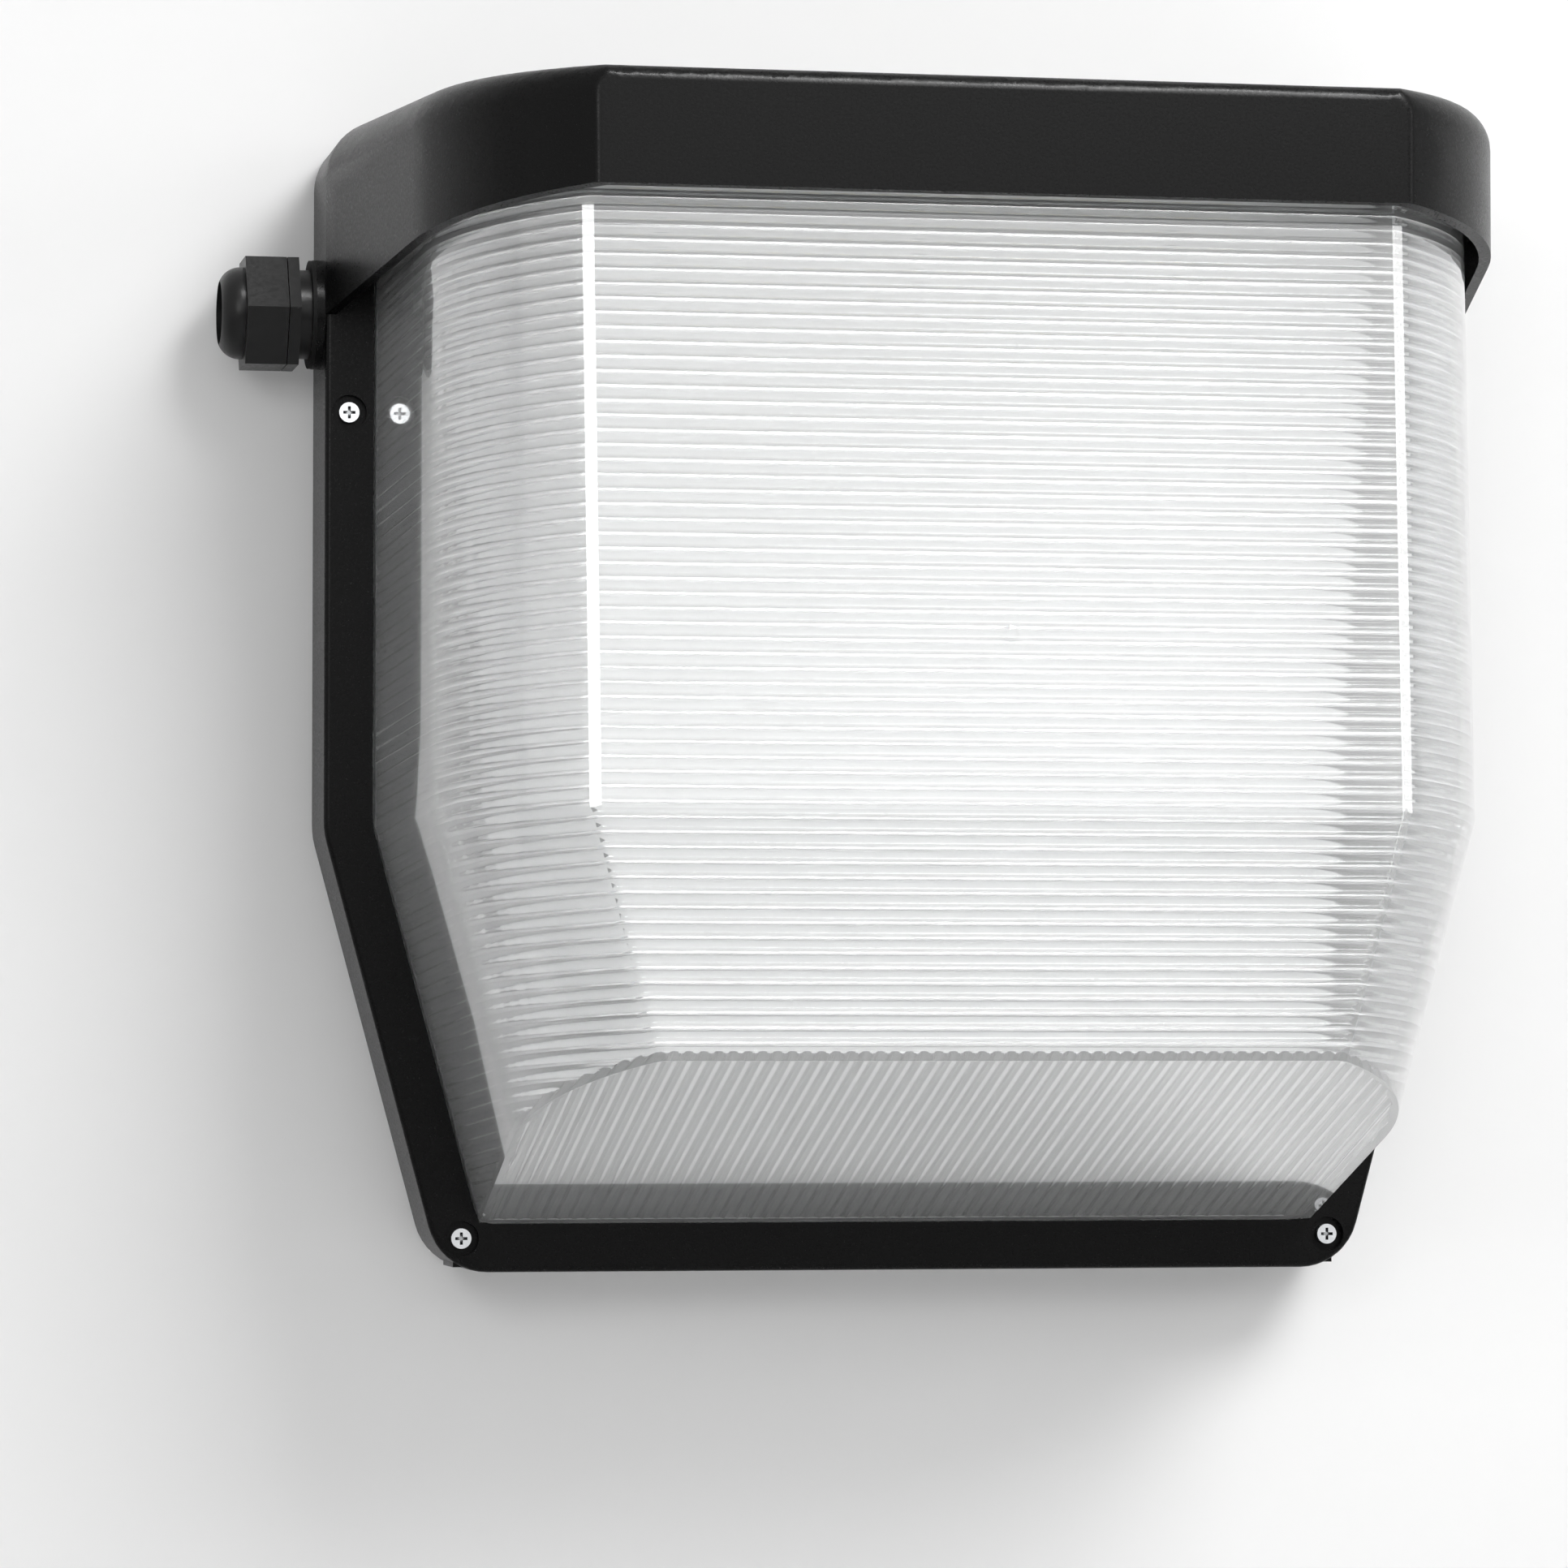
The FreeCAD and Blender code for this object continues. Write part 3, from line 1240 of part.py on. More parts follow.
def build_terminals():
    body = new_body("TerminalBlock")
    rear = tray_back - S.terminal_height
    middle_x, middle_z = -S.terminal_across, S.terminal_rise
    sketch = front_sketch(body, "block_outline", rear)
    half_length, half_width = S.terminal_length / 2, S.terminal_width / 2
    draw_box(sketch, middle_x - half_length, middle_x + half_length, middle_z - half_width,
             middle_z + half_width)
    pad(body, "block", sketch, S.terminal_height)
    ways = 3
    pitch = S.terminal_length / (ways + 1)
    way_spots = [(middle_x + pitch * (number - (ways - 1) / 2), middle_z + row * S.terminal_width / 4)
                 for number in range(ways) for row in (-1, 1)]
    cut_circles(body, "screw_wells", way_spots, S.terminal_screw_radius, rear - 1,
                S.terminal_screw_depth + 1)
    ears = [(middle_x + sign * (half_length + S.terminal_ear / 2), middle_z) for sign in (-1, 1)]
    sketch = front_sketch(body, "ear_outline", tray_back - S.driver_foot_thickness)
    draw_box(sketch, middle_x - half_length - S.terminal_ear, middle_x + half_length + S.terminal_ear,
             middle_z - S.terminal_ear / 2, middle_z + S.terminal_ear / 2)
    pad(body, "ears", sketch, S.driver_foot_thickness)
    cut_circles(body, "ear_holes", ears, S.clip_screw_radius, tray_back - S.driver_foot_thickness - 1,
                S.driver_foot_thickness + 2)
    keep("terminal_block", body)
    screws = [cylinder("terminal_screw_%d" % number, S.terminal_screw_radius, S.terminal_screw_depth - 1, x,
                       rear + 1, z) for number, (x, z) in enumerate(way_spots, start=1)]
    keep("terminal_screws", group("TerminalScrews", screws))
    fixings = [screw("terminal_fixing_%d" % number, x, z, tray_back - S.driver_foot_thickness,
                     S.driver_foot_thickness, S.small_head_radius, S.small_head_height, S.clip_screw_radius,
                     from_front=False) for number, (x, z) in enumerate(ears, start=1)]
    keep("terminal_fixing_screws", group("TerminalFixingScrews", fixings))


# ---- screws that hold the cover shut --------------------------------------------------------------------

def build_cover_screws():
    washers = []
    seat = screw_seat + S.cover_washer_height
    for name, (x, z) in screw_spots.items():
        ring = cylinder("washer_" + name, S.cover_screw_head_radius, S.cover_washer_height, x,
                        screw_seat, z)
        bore = cylinder("washer_bore_" + name, S.cover_screw_radius, S.cover_washer_height + 2, x,
                        screw_seat - 1, z)
        washers.append(subtract("cover_washer_" + name, ring, bore))
        grip = seat - boss_front + S.insert_length
        bolt = screw("cover_bolt_" + name, x, z, seat, grip, S.cover_screw_head_radius,
                     S.cover_screw_head_height, S.cover_screw_radius)
        long, short = S.cross_recess_length, S.cross_recess_width
        floor = seat + S.cover_screw_head_height - S.cross_recess_depth
        slots = [block("recess_%s_%s" % (direction, name), x - across / 2, across, floor,
                       S.cross_recess_depth + 1, z - up / 2, up)
                 for direction, across, up in (("across", long, short), ("up", short, long))]
        keep("cover_screw_" + name, subtract("CoverScrew_" + name, bolt, fuse("recess_" + name, slots)))
    keep("cover_screw_washers", group("CoverScrewWashers", washers))


# ---- cable gland ----------------------------------------------------------------------------------------

def gland_rod(name, radius, right_end, length):
    # a round piece on the gland's axis that runs to the left from its right end
    return cylinder(name, radius, length, right_end, S.gland_forward, S.gland_height, LEFTWARDS)


def gland_hex(body, name, right_end, length):
    sketch = new_sketch(body, name + "_outline", "YZ_Plane", right_end)
    draw_hexagon(sketch, -S.gland_forward, S.gland_height, S.gland_hex)
    return pad(body, name, sketch, length, backwards=True)


def gland_round(body, name, right_end, length, radius, hollow=False):
    sketch = new_sketch(body, name + "_outline", "YZ_Plane", right_end)
    draw_circle(sketch, -S.gland_forward, S.gland_height, radius)
    if hollow:
        return cut(body, name, sketch, length, backwards=True)
    return pad(body, name, sketch, length, backwards=True)


def build_gland():
    boss_inner = S.wall + S.gland_boss_inside - S.frame_half_width
    face = -S.frame_half_width - S.gland_boss_height
    washer_out = face - S.gland_washer_thickness
    collar_in = washer_out - S.gland_neck
    collar_out = collar_in - S.gland_collar_length
    spigot_end = collar_out - S.gland_spigot_length
    nut_in = collar_out - S.part_gap
    nut_out = collar_out - S.gland_nut_length
    dome_end = nut_out - S.gland_dome_length

    ring = gland_rod("gland_washer_ring", S.gland_washer_radius, face, S.gland_washer_thickness)
    hole = gland_rod("gland_washer_hole", S.gland_thread_radius, face + 1, S.gland_washer_thickness + 2)
    keep("gland_washer", subtract("GlandWasher", ring, hole))

    body = new_body("GlandBody")
    gland_round(body, "gland_thread", boss_inner, boss_inner - collar_in, S.gland_thread_radius)
    gland_hex(body, "gland_collar", collar_in, S.gland_collar_length)
    gland_round(body, "gland_spigot", collar_out, S.gland_spigot_length, S.gland_core_radius)
    gland_round(body, "gland_bore", boss_inner + 1, boss_inner - spigot_end + 2, S.gland_bore_radius, True)
    keep("gland_body", body)

    sleeve = gland_rod("seal_sleeve", S.gland_bore_radius, collar_in,
                       collar_in - dome_end - S.gland_seal_setback)
    bore = gland_rod("seal_bore", S.cable_radius, collar_in + 1, collar_in - dome_end + 2)
    keep("gland_seal", subtract("GlandSeal", sleeve, bore))

    nut = new_body("GlandDomeNut")
    gland_hex(nut, "nut_hex", nut_in, nut_in - nut_out)
    dome = gland_round(nut, "nut_dome", nut_out, S.gland_dome_length, S.gland_dome_radius)
    doc.recompute()

    def dome_edge(edge):
        return edge.BoundBox.XLength < 1e-4 and abs(edge.BoundBox.XMin - dome_end.number) < 1e-3

    fillet(nut, "nut_dome_round", dome, edge_names(dome.Shape, dome_edge), S.gland_dome_corner)
    gland_round(nut, "nut_thread_bore", nut_in + 1, nut_in - spigot_end + 1 + S.part_gap,
                S.gland_core_radius + S.hinge_clearance, True)
    gland_round(nut, "nut_mouth", nut_in + 1, nut_in - dome_end + 2, S.gland_bore_radius + S.part_gap, True)
    keep("gland_dome_nut", nut)


build_cover()
build_back_plate()
build_plate_gasket()
build_inserts()
build_hinge_pins()
build_plate_fittings()
build_lens()
build_lens_gasket()
build_clips()
build_tray()
build_light_source()
build_driver()
build_terminals()
build_cover_screws()
build_gland()

doc.recompute()
failed = [item.Name for item in doc.Objects if "Invalid" in item.State or "Error" in item.State]
for item in parts:
    if item.Shape.isNull() or not item.Shape.isValid():
        failed.append(item.Label)
if failed:
    raise RuntimeError("not built: " + ", ".join(failed))
os.makedirs("parts", exist_ok=True)
for item in parts:
    item.Shape.exportStep("parts/%s.step" % item.Label)
    print(item.Label, len(item.Shape.Solids), "solids", round(item.Shape.Volume / 1000, 2), "cm3")
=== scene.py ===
import bmesh
import bpy
import json
import math
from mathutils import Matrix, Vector


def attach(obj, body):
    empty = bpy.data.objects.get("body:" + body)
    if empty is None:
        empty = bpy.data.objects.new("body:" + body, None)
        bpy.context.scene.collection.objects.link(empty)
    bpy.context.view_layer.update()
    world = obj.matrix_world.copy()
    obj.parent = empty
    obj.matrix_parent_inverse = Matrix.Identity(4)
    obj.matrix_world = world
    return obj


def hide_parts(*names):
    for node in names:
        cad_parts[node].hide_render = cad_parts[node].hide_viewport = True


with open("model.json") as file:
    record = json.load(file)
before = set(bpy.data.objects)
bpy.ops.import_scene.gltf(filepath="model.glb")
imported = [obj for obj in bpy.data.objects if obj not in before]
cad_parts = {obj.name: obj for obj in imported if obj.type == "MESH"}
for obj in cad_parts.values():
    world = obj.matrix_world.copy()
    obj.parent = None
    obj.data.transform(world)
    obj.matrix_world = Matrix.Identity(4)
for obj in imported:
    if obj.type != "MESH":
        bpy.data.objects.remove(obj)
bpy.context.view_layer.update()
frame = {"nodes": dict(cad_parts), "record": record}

nodes = frame["nodes"]
slotOf = {entry["node"]: entry["material_slot"] for entry in frame["record"]["subparts"]}
bodies = frame["record"]["behaviour"]["bodies"]
bodyOf = {node: body for body, members in bodies.items() for node in members}
print("frame loaded:", len(nodes), "nodes")


def linear(hexColour):
    # sRGB hex to linear RGBA
    parts = [int(hexColour[i:i + 2], 16) / 255 for i in (1, 3, 5)]
    return [c / 12.92 if c <= 0.04045 else ((c + 0.055) / 1.055) ** 2.4 for c in parts] + [1.0]


def addNode(tree, kind, settings=None, inputs=None):
    # an input is a number, a colour, or (node, output name) to link from
    node = tree.nodes.new(kind)
    for name, value in (settings or {}).items():
        setattr(node, name, value)
    for name, value in (inputs or {}).items():
        if isinstance(value, tuple) and isinstance(value[0], bpy.types.Node):
            tree.links.new(value[0].outputs[value[1]], node.inputs[name])
        else:
            node.inputs[name].default_value = value
    return node


def newMaterial(name):
    material = bpy.data.materials.new(name)
    material.use_nodes = True
    tree = material.node_tree
    tree.nodes.clear()
    output = tree.nodes.new("ShaderNodeOutputMaterial")
    return material, tree, output


def finishMaterial(tree, output, shader):
    tree.links.new(shader.outputs[0], output.inputs["Surface"])


def mottledGloss(tree, coords, look):
    # a noise in real millimetres, and the roughness that it varies a little
    noise = addNode(tree, "ShaderNodeTexNoise", {}, {
        "Vector": (coords, "Object"), "Scale": 1000 / look["grainMm"], "Detail": look.get("detail", 3.0)})
    rough = addNode(tree, "ShaderNodeMapRange", {}, {
        "Value": (noise, "Fac"), "From Min": 0.3, "From Max": 0.7,
        "To Min": look["roughness"] - look.get("spread", 0.06),
        "To Max": look["roughness"] + look.get("spread", 0.06)})
    return noise, rough


def powderCoat(name, look):
    material, tree, output = newMaterial(name)
    coords = addNode(tree, "ShaderNodeTexCoord")
    peel = addNode(tree, "ShaderNodeTexNoise", {}, {
        "Vector": (coords, "Object"), "Scale": 1000 / look["peelMm"], "Detail": 2.0, "Roughness": 0.5})
    grain = addNode(tree, "ShaderNodeTexNoise", {}, {
        "Vector": (coords, "Object"), "Scale": 1000 / look["grainMm"], "Detail": 1.0, "Roughness": 0.5})
    both = addNode(tree, "ShaderNodeMath", {"operation": "MULTIPLY_ADD"}, {
        0: (grain, "Fac"), 1: look["grainShare"], 2: (peel, "Fac")})
    bump = addNode(tree, "ShaderNodeBump", {}, {
        "Height": (both, "Value"), "Strength": look["bump"], "Distance": look["depthMm"] / 1000})
    rough = addNode(tree, "ShaderNodeMapRange", {}, {
        "Value": (peel, "Fac"), "From Min": 0.35, "From Max": 0.65,
        "To Min": look["roughness"] - 0.04, "To Max": look["roughness"] + 0.05})
    shader = addNode(tree, "ShaderNodeBsdfPrincipled", {}, {
        "Base Color": linear(look["colour"]), "Roughness": (rough, "Result"), "Normal": (bump, "Normal"),
        "Specular IOR Level": look["specular"]})
    finishMaterial(tree, output, shader)
    return material


def plainFinish(name, look):
    material, tree, output = newMaterial(name)
    coords = addNode(tree, "ShaderNodeTexCoord")
    noise, rough = mottledGloss(tree, coords, look)
    bump = addNode(tree, "ShaderNodeBump", {}, {
        "Height": (noise, "Fac"), "Strength": look["bump"], "Distance": 0.0002})
    shader = addNode(tree, "ShaderNodeBsdfPrincipled", {}, {
        "Base Color": linear(look["colour"]), "Roughness": (rough, "Result"), "Normal": (bump, "Normal"),
        "Metallic": look.get("metallic", 0.0), "Specular IOR Level": look.get("specular", 0.5)})
    finishMaterial(tree, output, shader)
    return material


def platedSteel(name, look):
    material, tree, output = newMaterial(name)
    coords = addNode(tree, "ShaderNodeTexCoord")
    noise, rough = mottledGloss(tree, coords, look)
    # painted shade: ambient occlusion darkens recesses such as screw crosses from the plate colour towards a
    # near-black shade colour
    recessShade = addNode(tree, "ShaderNodeAmbientOcclusion", {"samples": 8}, {
        "Distance": look["recessMm"] / 1000})
    shadedTone = addNode(tree, "ShaderNodeValToRGB", {}, {"Fac": (recessShade, "AO")})
    shaded, bright = shadedTone.color_ramp.elements
    shaded.position, shaded.color = look["shadeFrom"], linear(look["shaded"])
    bright.position, bright.color = look["brightFrom"], linear(look["colour"])
    shader = addNode(tree, "ShaderNodeBsdfPrincipled", {}, {
        "Base Color": (shadedTone, "Color"), "Roughness": (rough, "Result"), "Metallic": 1.0})
    finishMaterial(tree, output, shader)
    return material


def clearPolycarbonate(name, look):
    material, tree, output = newMaterial(name)
    coords = addNode(tree, "ShaderNodeTexCoord")
    noise, rough = mottledGloss(tree, coords, look)
    away = addNode(tree, "ShaderNodeVectorMath", {"operation": "DISTANCE"}, {
        0: (coords, "Object"), 1: look["gatePlace"]})
    ring = addNode(tree, "ShaderNodeMath", {"operation": "PINGPONG"}, {
        0: (away, "Value"), 1: look["gateRadius"] / 2})
    inside = addNode(tree, "ShaderNodeMath", {"operation": "LESS_THAN"}, {
        0: (away, "Value"), 1: look["gateRadius"]})
    height = addNode(tree, "ShaderNodeMath", {"operation": "MULTIPLY"}, {
        0: (ring, "Value"), 1: (inside, "Value")})
    bump = addNode(tree, "ShaderNodeBump", {}, {
        "Height": (height, "Value"), "Strength": 1.0, "Distance": look["gateSlope"]})
    shader = addNode(tree, "ShaderNodeBsdfPrincipled", {}, {
        "Base Color": linear(look["colour"]), "Roughness": (rough, "Result"), "Normal": (bump, "Normal"),
        "IOR": 1.585, "Transmission Weight": look["clear"], "Coat Weight": 0.8, "Coat Roughness": 0.03})
    finishMaterial(tree, output, shader)
    return material


# polyester powder baked on a primed aluminium casting: satin black, its orange peel breaks up the highlights
castBlack = powderCoat("powderCoatBlack", {
    "colour": "#030303", "peelMm": 0.9, "grainMm": 0.35, "grainShare": 0.35, "bump": 0.5, "depthMm": 0.06,
    "roughness": 0.3, "specular": 0.12})
# injection moulded polyamide: black with soft broad highlights
nylonBlack = plainFinish("nylonBlack", {
    "colour": "#060606", "grainMm": 1.2, "roughness": 0.34, "bump": 0.1, "specular": 0.25})
# moulded EPDM rubber: black without gloss
rubberBlack = plainFinish("rubberBlack", {
    "colour": "#070707", "grainMm": 0.8, "roughness": 0.6, "bump": 0.2, "specular": 0.2})
# cast silicone: pale and dull, so the lens rim stays light
rubberPale = plainFinish("siliconePale", {
    "colour": "#dfe1e0", "grainMm": 0.8, "roughness": 0.6, "bump": 0.2})
# sprayed enamel on aluminium sheet: an even white that lights the lens from behind
whiteEnamel = plainFinish("whiteEnamel", {
    "colour": "#fbfbfb", "grainMm": 2.5, "roughness": 0.4, "bump": 0.05})
# solder mask printed on the board: flat white with a slight gloss
boardWhite = plainFinish("boardWhite", {
    "colour": "#eef0ee", "grainMm": 2.0, "roughness": 0.3, "bump": 0.03})
# phosphor in silicone over each chip: warm yellow
ledYellow = plainFinish("ledPhosphor", {
    "colour": "#e8cf6a", "grainMm": 0.5, "roughness": 0.35, "bump": 0.05})
# moulded ABS end caps: dull grey with a spark-eroded grain
greyAbs = plainFinish("greyAbs", {
    "colour": "#55585b", "grainMm": 1.0, "roughness": 0.5, "bump": 0.15})
# moulded polyamide terminal block: cream
creamPolyamide = plainFinish("creamPolyamide", {
    "colour": "#ddd8c8", "grainMm": 1.0, "roughness": 0.45, "bump": 0.1})
# bright zinc plate on steel: shines, with painted shade that darkens its recesses towards near black
zincSteel = platedSteel("zincSteel", {
    "colour": "#dcdee0", "shaded": "#1c1d1e", "grainMm": 1.5, "roughness": 0.24, "recessMm": 1.6,
    "shadeFrom": 0.42, "brightFrom": 0.82})
# turned brass: yellow metal
brassTurned = plainFinish("brassTurned", {
    "colour": "#c9a95c", "grainMm": 0.6, "roughness": 0.3, "bump": 0.05, "metallic": 1.0})
# mill finish aluminium, extruded or rolled: grey metal with a soft sheen
alloyMill = plainFinish("alloyMill", {
    "colour": "#c6c8ca", "grainMm": 1.2, "roughness": 0.35, "bump": 0.08, "metallic": 1.0})
# injection moulded polycarbonate: glossy and slightly milky, with the mark of the mould's gate on its front
lensClear = clearPolycarbonate("clearPolycarbonate", {
    "colour": "#fdfefe", "grainMm": 6.0, "detail": 2.0, "roughness": 0.08, "spread": 0.016, "clear": 0.83,
    "gatePlace": (0.002, -0.2125, 0.012), "gateRadius": 0.0046, "gateSlope": 0.35})

finishes = {
    "black_casting": castBlack, "clear_lens": lensClear, "white_sheet": whiteEnamel,
    "black_nylon": nylonBlack, "black_rubber": rubberBlack, "grey_rubber": rubberPale,
    "brass": brassTurned, "bright_steel": zincSteel, "zinc_screw": zincSteel,
    "board_white": boardWhite, "led_yellow": ledYellow, "driver_alloy": alloyMill,
    "grey_plastic": greyAbs, "cream_plastic": creamPolyamide,
}

for nodeName, node in nodes.items():
    node.data.materials.clear()
    node.data.materials.append(finishes[slotOf[nodeName]])
print("materials on", len(nodes), "nodes")


def mergedCopy(nodeName):
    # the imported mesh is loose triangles, so its copy is merged before it is worked on
    work = bmesh.new()
    work.from_mesh(nodes[nodeName].data)
    bmesh.ops.remove_doubles(work, verts=work.verts, dist=1e-6)
    work.normal_update()
    return work


def creaseEdges(work, shading, ribFaces=()):
    # edges sharper than their limit stay crisp; level edges and ribs have limits of their own
    ribs = set(ribFaces)
    for face in work.faces:
        face.smooth = True
    for edge in work.edges:
        if len(edge.link_faces) != 2:
            edge.smooth = False
            continue
        angle = math.degrees(edge.calc_face_angle(0.0))
        run = (edge.verts[1].co - edge.verts[0].co).normalized()
        if ribs.issuperset(edge.link_faces):
            limit = shading["ribCrease"]
        elif abs(run.z) < 0.2 and abs(run.x) > 0.3:
            limit = shading["levelCrease"]
        else:
            limit = shading["crease"]
        edge.smooth = angle < limit


def addPiece(work, pieceName, nodeName):
    mesh = bpy.data.meshes.new(pieceName)
    work.to_mesh(mesh)
    work.free()
    mesh.materials.append(finishes[slotOf[nodeName]])
    piece = bpy.data.objects.new(pieceName, mesh)
    bpy.context.scene.collection.objects.link(piece)
    weighted = piece.modifiers.new("faceNormals", "WEIGHTED_NORMAL")
    weighted.keep_sharp = True
    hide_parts(nodeName)
    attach(piece, bodyOf[nodeName])
    return piece


coverCasting = {"crease": 24, "levelCrease": 40}

work = mergedCopy("cover_casting")
creaseEdges(work, coverCasting)
addPiece(work, "coverCasting", "cover_casting")
print("cover casting shaded")


lensBowl = {
    "flangeFront": 0.043, "axisForward": 0.103, "skinDepth": 0.0005,
    "ribPitch": 0.00475, "ribHeight": 0.0012, "ribTilt": 4.0, "ribStart": -0.197, "ribCuts": 3,
    "floorAtFlange": -0.17663, "floorRise": 56 / 169.5, "floorFacing": 0.72, "floorReach": 0.003,
    "bandAngles": (4, 31), "bandReach": 0.007, "facetInside": 0.12, "facetDepth": 0.06,
    "crease": 16, "levelCrease": 3, "ribCrease": 40,
}


def bowlSide(face):
    # the ribbed inside is "wall" or "floor"; the rest of the bowl is "skin"
    middle = face.calc_center_median()
    depth = -middle.y - lensBowl["flangeFront"]
    if depth < lensBowl["skinDepth"]:
        return "skin"
    if abs(face.normal.z) > lensBowl["floorFacing"]:
        floorLevel = lensBowl["floorAtFlange"] + lensBowl["floorRise"] * depth
        onFloor = abs(middle.z - floorLevel) < lensBowl["floorReach"] and face.normal.z > 0
        return "floor" if onFloor else "skin"
    inward = Vector((-middle.x, -lensBowl["axisForward"] - middle.y, 0)).normalized()
    facing = Vector((face.normal.x, face.normal.y, 0))
    return "wall" if facing.length > 0.1 and facing.normalized().dot(inward) > 0.2 else "skin"


def borderAt(points, level):
    # the place where a border of the facet edge passes a level
    above = [point for point in points if point.z >= level] or [points[-1]]
    below = [point for point in points if point.z <= level] or [points[0]]
    low, high = below[-1], above[0]
    share = (level - low.z) / (high.z - low.z) if high.z - low.z > 1e-6 else 0.0
    return low.lerp(high, max(0.0, min(1.0, share)))


def skinAngles(work, side):
    # how far round each outer point of one half faces, in degrees from straight ahead
    angles = {}
    for vert in work.verts:
        depth = -vert.co.y - lensBowl["flangeFront"]
        if vert.co.x * side < lensBowl["facetInside"] or depth < lensBowl["facetDepth"]:
            continue
        facing = Vector((0, 0, 0))
        for face in vert.link_faces:
            if bowlSide(face) == "skin" and abs(face.normal.z) < 0.5 and face.normal.y < 0:
                facing += face.normal * face.calc_area() ** 0.25
        if facing.length > 0:
            angles[vert] = abs(math.degrees(math.atan2(facing.x, -facing.y)))
    return angles


def flattenFacetEdges(work):
    # the edges beside the front facet are narrow flat bands: points between their borders go on a line
    low, high = lensBowl["bandAngles"]
    moved = 0
    for side in (-1, 1):
        angles = skinAngles(work, side)
        front = sorted((vert.co.copy() for vert in angles if angles[vert] <= low),
                       key=lambda place: place.z)
        if not front:
            continue
        near = [vert for vert in angles
                if (borderAt(front, vert.co.z) - vert.co).length < lensBowl["bandReach"]]
        beside = sorted((vert.co.copy() for vert in near if angles[vert] >= high),
                        key=lambda place: place.z)
        if not beside:
            continue
        for vert in near:
            if low < angles[vert] < high:
                start = borderAt(front, vert.co.z)
                run = borderAt(beside, vert.co.z) - start
                vert.co = start + run * max(0, min(1, (vert.co - start).dot(run) / run.length_squared))
                moved += 1
    work.normal_update()
    return moved


def roundRibs(work):
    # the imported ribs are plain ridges: each flank is cut along its length and bulged to an arc
    half, height = lensBowl["ribPitch"] / 2, lensBowl["ribHeight"]
    radius = (half * half + height * height) / (2 * height)
    widest = math.asin(half / radius)
    slope = math.tan(math.radians(lensBowl["ribTilt"]))
    across = {"wall": Vector((0, slope, 1)), "floor": Vector((1, 0, 0))}
    offset = {"wall": lensBowl["ribStart"] - slope * lensBowl["flangeFront"], "floor": 0.0}
    bands = {}
    for face in work.faces:
        side = bowlSide(face)
        if side == "skin":
            continue
        place = across[side].dot(face.calc_center_median()) - offset[side]
        bands.setdefault((side, math.floor(place / half)), []).append(face)
    ribFaces, bulged = set(), {}
    for (side, band), faces in bands.items():
        geometry = set(faces)
        for face in faces:
            geometry.update(face.edges)
            geometry.update(face.verts)
        geometry = list(geometry)
        for cut in range(1, lensBowl["ribCuts"] + 1):
            away = radius * math.sin(widest * cut / (lensBowl["ribCuts"] + 1))
            fromValley = 1 - away / half
            share = fromValley if band % 2 == 0 else 1 - fromValley
            level = offset[side] + half * (band + share)
            normal = across[side]
            result = bmesh.ops.bisect_plane(
                work, geom=geometry, dist=1e-7, plane_co=normal * (level / normal.length_squared),
                plane_no=normal)
            geometry = result["geom"]
            bulge = math.sqrt(radius * radius - away * away) - (radius - height) - height * fromValley
            for vert in result["geom_cut"]:
                if isinstance(vert, bmesh.types.BMVert):
                    bulged[vert] = (side, bulge)
        ribFaces.update(item for item in geometry if isinstance(item, bmesh.types.BMFace))
    work.normal_update()
    moves = {}
    for vert, (side, bulge) in bulged.items():
        if not vert.is_valid:
            continue
        if side == "floor":
            moves[vert] = Vector((0, 0, bulge))
            continue
        facing = Vector((0, 0, 0))
        for face in vert.link_faces:
            if face in ribFaces:
                facing += Vector((face.normal.x, face.normal.y, 0)) * face.calc_area()
        if facing.length > 0:
            moves[vert] = facing.normalized() * bulge
    for vert, move in moves.items():
        vert.co += move
    work.normal_update()
    return [face for face in ribFaces if face.is_valid]


work = mergedCopy("refractor_lens")
print("facet edge points flattened:", flattenFacetEdges(work))
ribFaces = roundRibs(work)
creaseEdges(work, lensBowl, ribFaces)
lensPiece = addPiece(work, "refractorLens", "refractor_lens")
print("lens ribs rounded:", len(lensPiece.data.polygons), "faces")


studio = {
    "wallSize": 8.0, "wallGap": 0.0005, "floorLevel": -0.75,
    "wallOpening": [(-0.194, 0.191), (-0.194, -0.048), (-0.158, -0.191), (0.158, -0.191), (0.194, -0.048),
                    (0.194, 0.191)],
    "worldStrength": 0.4, "wallColour": "#dcdcdc", "wallLift": 0.07,
}


def openPlane(work, outline):
    # the wall stops behind the plate, whose back is then lit in the views from behind
    corners = [Vector((x, y, 0)) for x, y in outline]
    cuts = []
    for start, end in zip(corners, corners[1:] + corners[:1]):
        outward = (end - start).cross(Vector((0, 0, 1)))
        cuts.append((start, outward))
        bmesh.ops.bisect_plane(work, geom=work.verts[:] + work.edges[:] + work.faces[:], dist=1e-7,
                               plane_co=start, plane_no=outward)
    inside = [face for face in work.faces
              if all((face.calc_center_median() - start).dot(outward) < 0 for start, outward in cuts)]
    bmesh.ops.delete(work, geom=inside, context="FACES")


def stagePlane(name, size, place, turn, material, opening=None):
    mesh = bpy.data.meshes.new(name)
    work = bmesh.new()
    bmesh.ops.create_grid(work, x_segments=1, y_segments=1, size=size / 2)
    if opening:
        openPlane(work, opening)
    work.to_mesh(mesh)
    work.free()
    plane = bpy.data.objects.new(name, mesh)
    plane.location = place
    plane.rotation_euler = turn
    plane.data.materials.append(material)
    bpy.context.scene.collection.objects.link(plane)


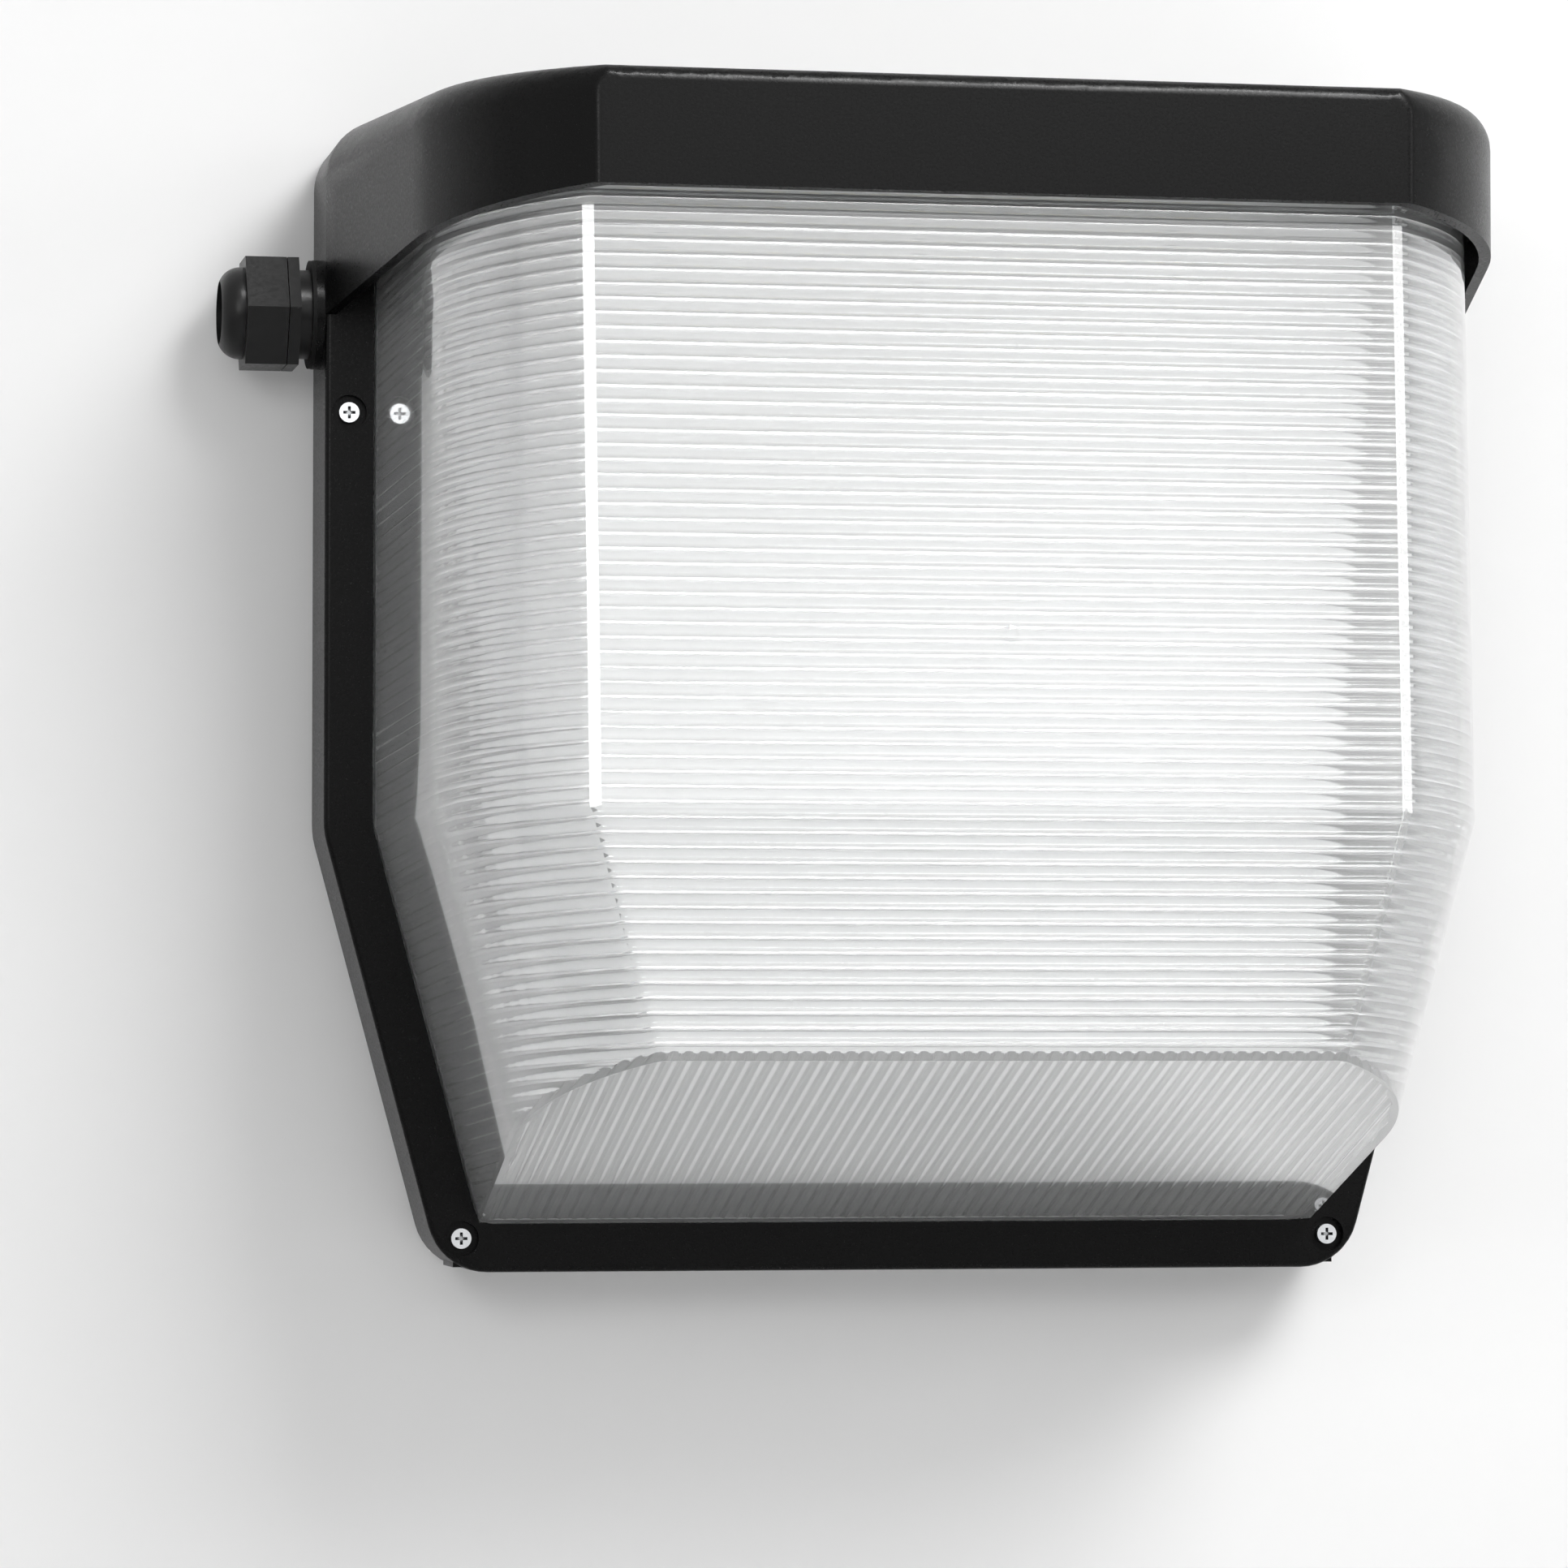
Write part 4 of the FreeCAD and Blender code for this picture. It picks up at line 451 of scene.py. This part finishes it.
def seenDirectly(tree):
    # 1 for the rays that look at the background: from the camera, off gloss and through the lens
    path = addNode(tree, "ShaderNodeLightPath")
    glossy = addNode(tree, "ShaderNodeMath", {"operation": "MAXIMUM"}, {
        0: (path, "Is Camera Ray"), 1: (path, "Is Glossy Ray")})
    return addNode(tree, "ShaderNodeMath", {"operation": "MAXIMUM"}, {
        0: (glossy, "Value"), 1: (path, "Is Transmission Ray")})


def stageMaterial(name, oneSided):
    # matt wall paint, a little brighter where it is looked at, so it stays white and still takes the shadow
    material, tree, output = newMaterial(name)
    paint = addNode(tree, "ShaderNodeBsdfDiffuse", {}, {"Color": linear(studio["wallColour"])})
    lift = addNode(tree, "ShaderNodeMath", {"operation": "MULTIPLY"}, {
        0: (seenDirectly(tree), "Value"), 1: studio["wallLift"]})
    glow = addNode(tree, "ShaderNodeEmission", {}, {"Color": (1, 1, 1, 1), "Strength": (lift, "Value")})
    both = addNode(tree, "ShaderNodeAddShader", {}, {0: (paint, "BSDF"), 1: (glow, "Emission")})
    if not oneSided:
        finishMaterial(tree, output, both)
        return material
    geometry = addNode(tree, "ShaderNodeNewGeometry")
    clear = addNode(tree, "ShaderNodeBsdfTransparent")
    mixed = addNode(tree, "ShaderNodeMixShader", {}, {
        "Fac": (geometry, "Backfacing"), 1: (both, "Shader"), 2: (clear, "BSDF")})
    finishMaterial(tree, output, mixed)
    return material


stagePlane("wallBackdrop", studio["wallSize"], (0, studio["wallGap"], 0), (math.radians(90), 0, 0),
           stageMaterial("wallPaint", True), studio["wallOpening"])
stagePlane("floor", studio["wallSize"], (0, -studio["wallSize"] / 2, studio["floorLevel"]), (0, 0, 0),
           stageMaterial("floorPaint", False))

world = bpy.data.worlds.new("studioWorld")
world.use_nodes = True
worldTree = world.node_tree
worldTree.nodes.clear()
skyStrength = addNode(worldTree, "ShaderNodeMath", {"operation": "MAXIMUM"}, {
    0: (seenDirectly(worldTree), "Value"), 1: studio["worldStrength"]})
skyLight = addNode(worldTree, "ShaderNodeBackground", {}, {
    "Color": (1, 1, 1, 1), "Strength": (skyStrength, "Value")})
worldOut = addNode(worldTree, "ShaderNodeOutputWorld", {}, {"Surface": (skyLight, "Background")})
bpy.context.scene.world = world


softBoxes = {
    # main light from the upper right, which throws the shadow on the wall
    "keyBox": {"place": (0.8, -1.7, 1.36), "target": (0, 0, 0), "size": (1.0, 0.8), "watts": 42},
    # line of light along the hood's top edge, seen only in gloss
    "topBox": {"place": (0.35, -1.2, 1.4), "target": (0, -0.2, 0.2), "size": (1.3, 0.2), "watts": 45},
    # broad light behind the camera, which the rib valleys turn into bright lines
    "frontBox": {"place": (0.1, -2.7, 0.75), "target": (0, 0, 0.1), "size": (2.4, 1.1), "watts": 9},
    # the two upright lights that the bands beside the lens's front facet mirror
    "leftBox": {"place": (-0.99, -1.79, 0.46), "target": (-0.131, -0.21, 0.07), "size": (0.32, 0.6),
                "watts": 5},
    "rightBox": {"place": (1.59, -1.26, 0.46), "target": (0.131, -0.21, 0.07), "size": (0.32, 0.6),
                 "watts": 3},
}
onlyInGloss = ["topBox"]

for boxName, box in softBoxes.items():
    light = bpy.data.lights.new(boxName, "AREA")
    light.shape = "RECTANGLE"
    light.size, light.size_y = box["size"]
    light.energy = box["watts"]
    lamp = bpy.data.objects.new(boxName, light)
    lamp.location = box["place"]
    aim = Vector(box["target"]) - Vector(box["place"])
    lamp.rotation_euler = aim.to_track_quat("-Z", "Y").to_euler()
    lamp.visible_diffuse = boxName not in onlyInGloss
    lamp.visible_transmission = boxName not in onlyInGloss
    bpy.context.scene.collection.objects.link(lamp)


photoView = {
    "place": (-0.4277, -2.1108, -0.1218), "pitch": 2.515, "yaw": -10.6, "lens": 140.0, "sensor": 36.0,
}

camera = bpy.data.cameras.new("photoCamera")
camera.lens = photoView["lens"]
camera.sensor_width = photoView["sensor"]
camera.sensor_fit = "HORIZONTAL"
camera.clip_end = 50
eye = bpy.data.objects.new("photoCamera", camera)
eye.location = photoView["place"]
eye.rotation_euler = (math.radians(90 + photoView["pitch"]), 0, math.radians(photoView["yaw"]))
bpy.context.scene.collection.objects.link(eye)
bpy.context.scene.camera = eye
bpy.context.scene.view_settings.view_transform = "Standard"
print("stage, lights and camera set")
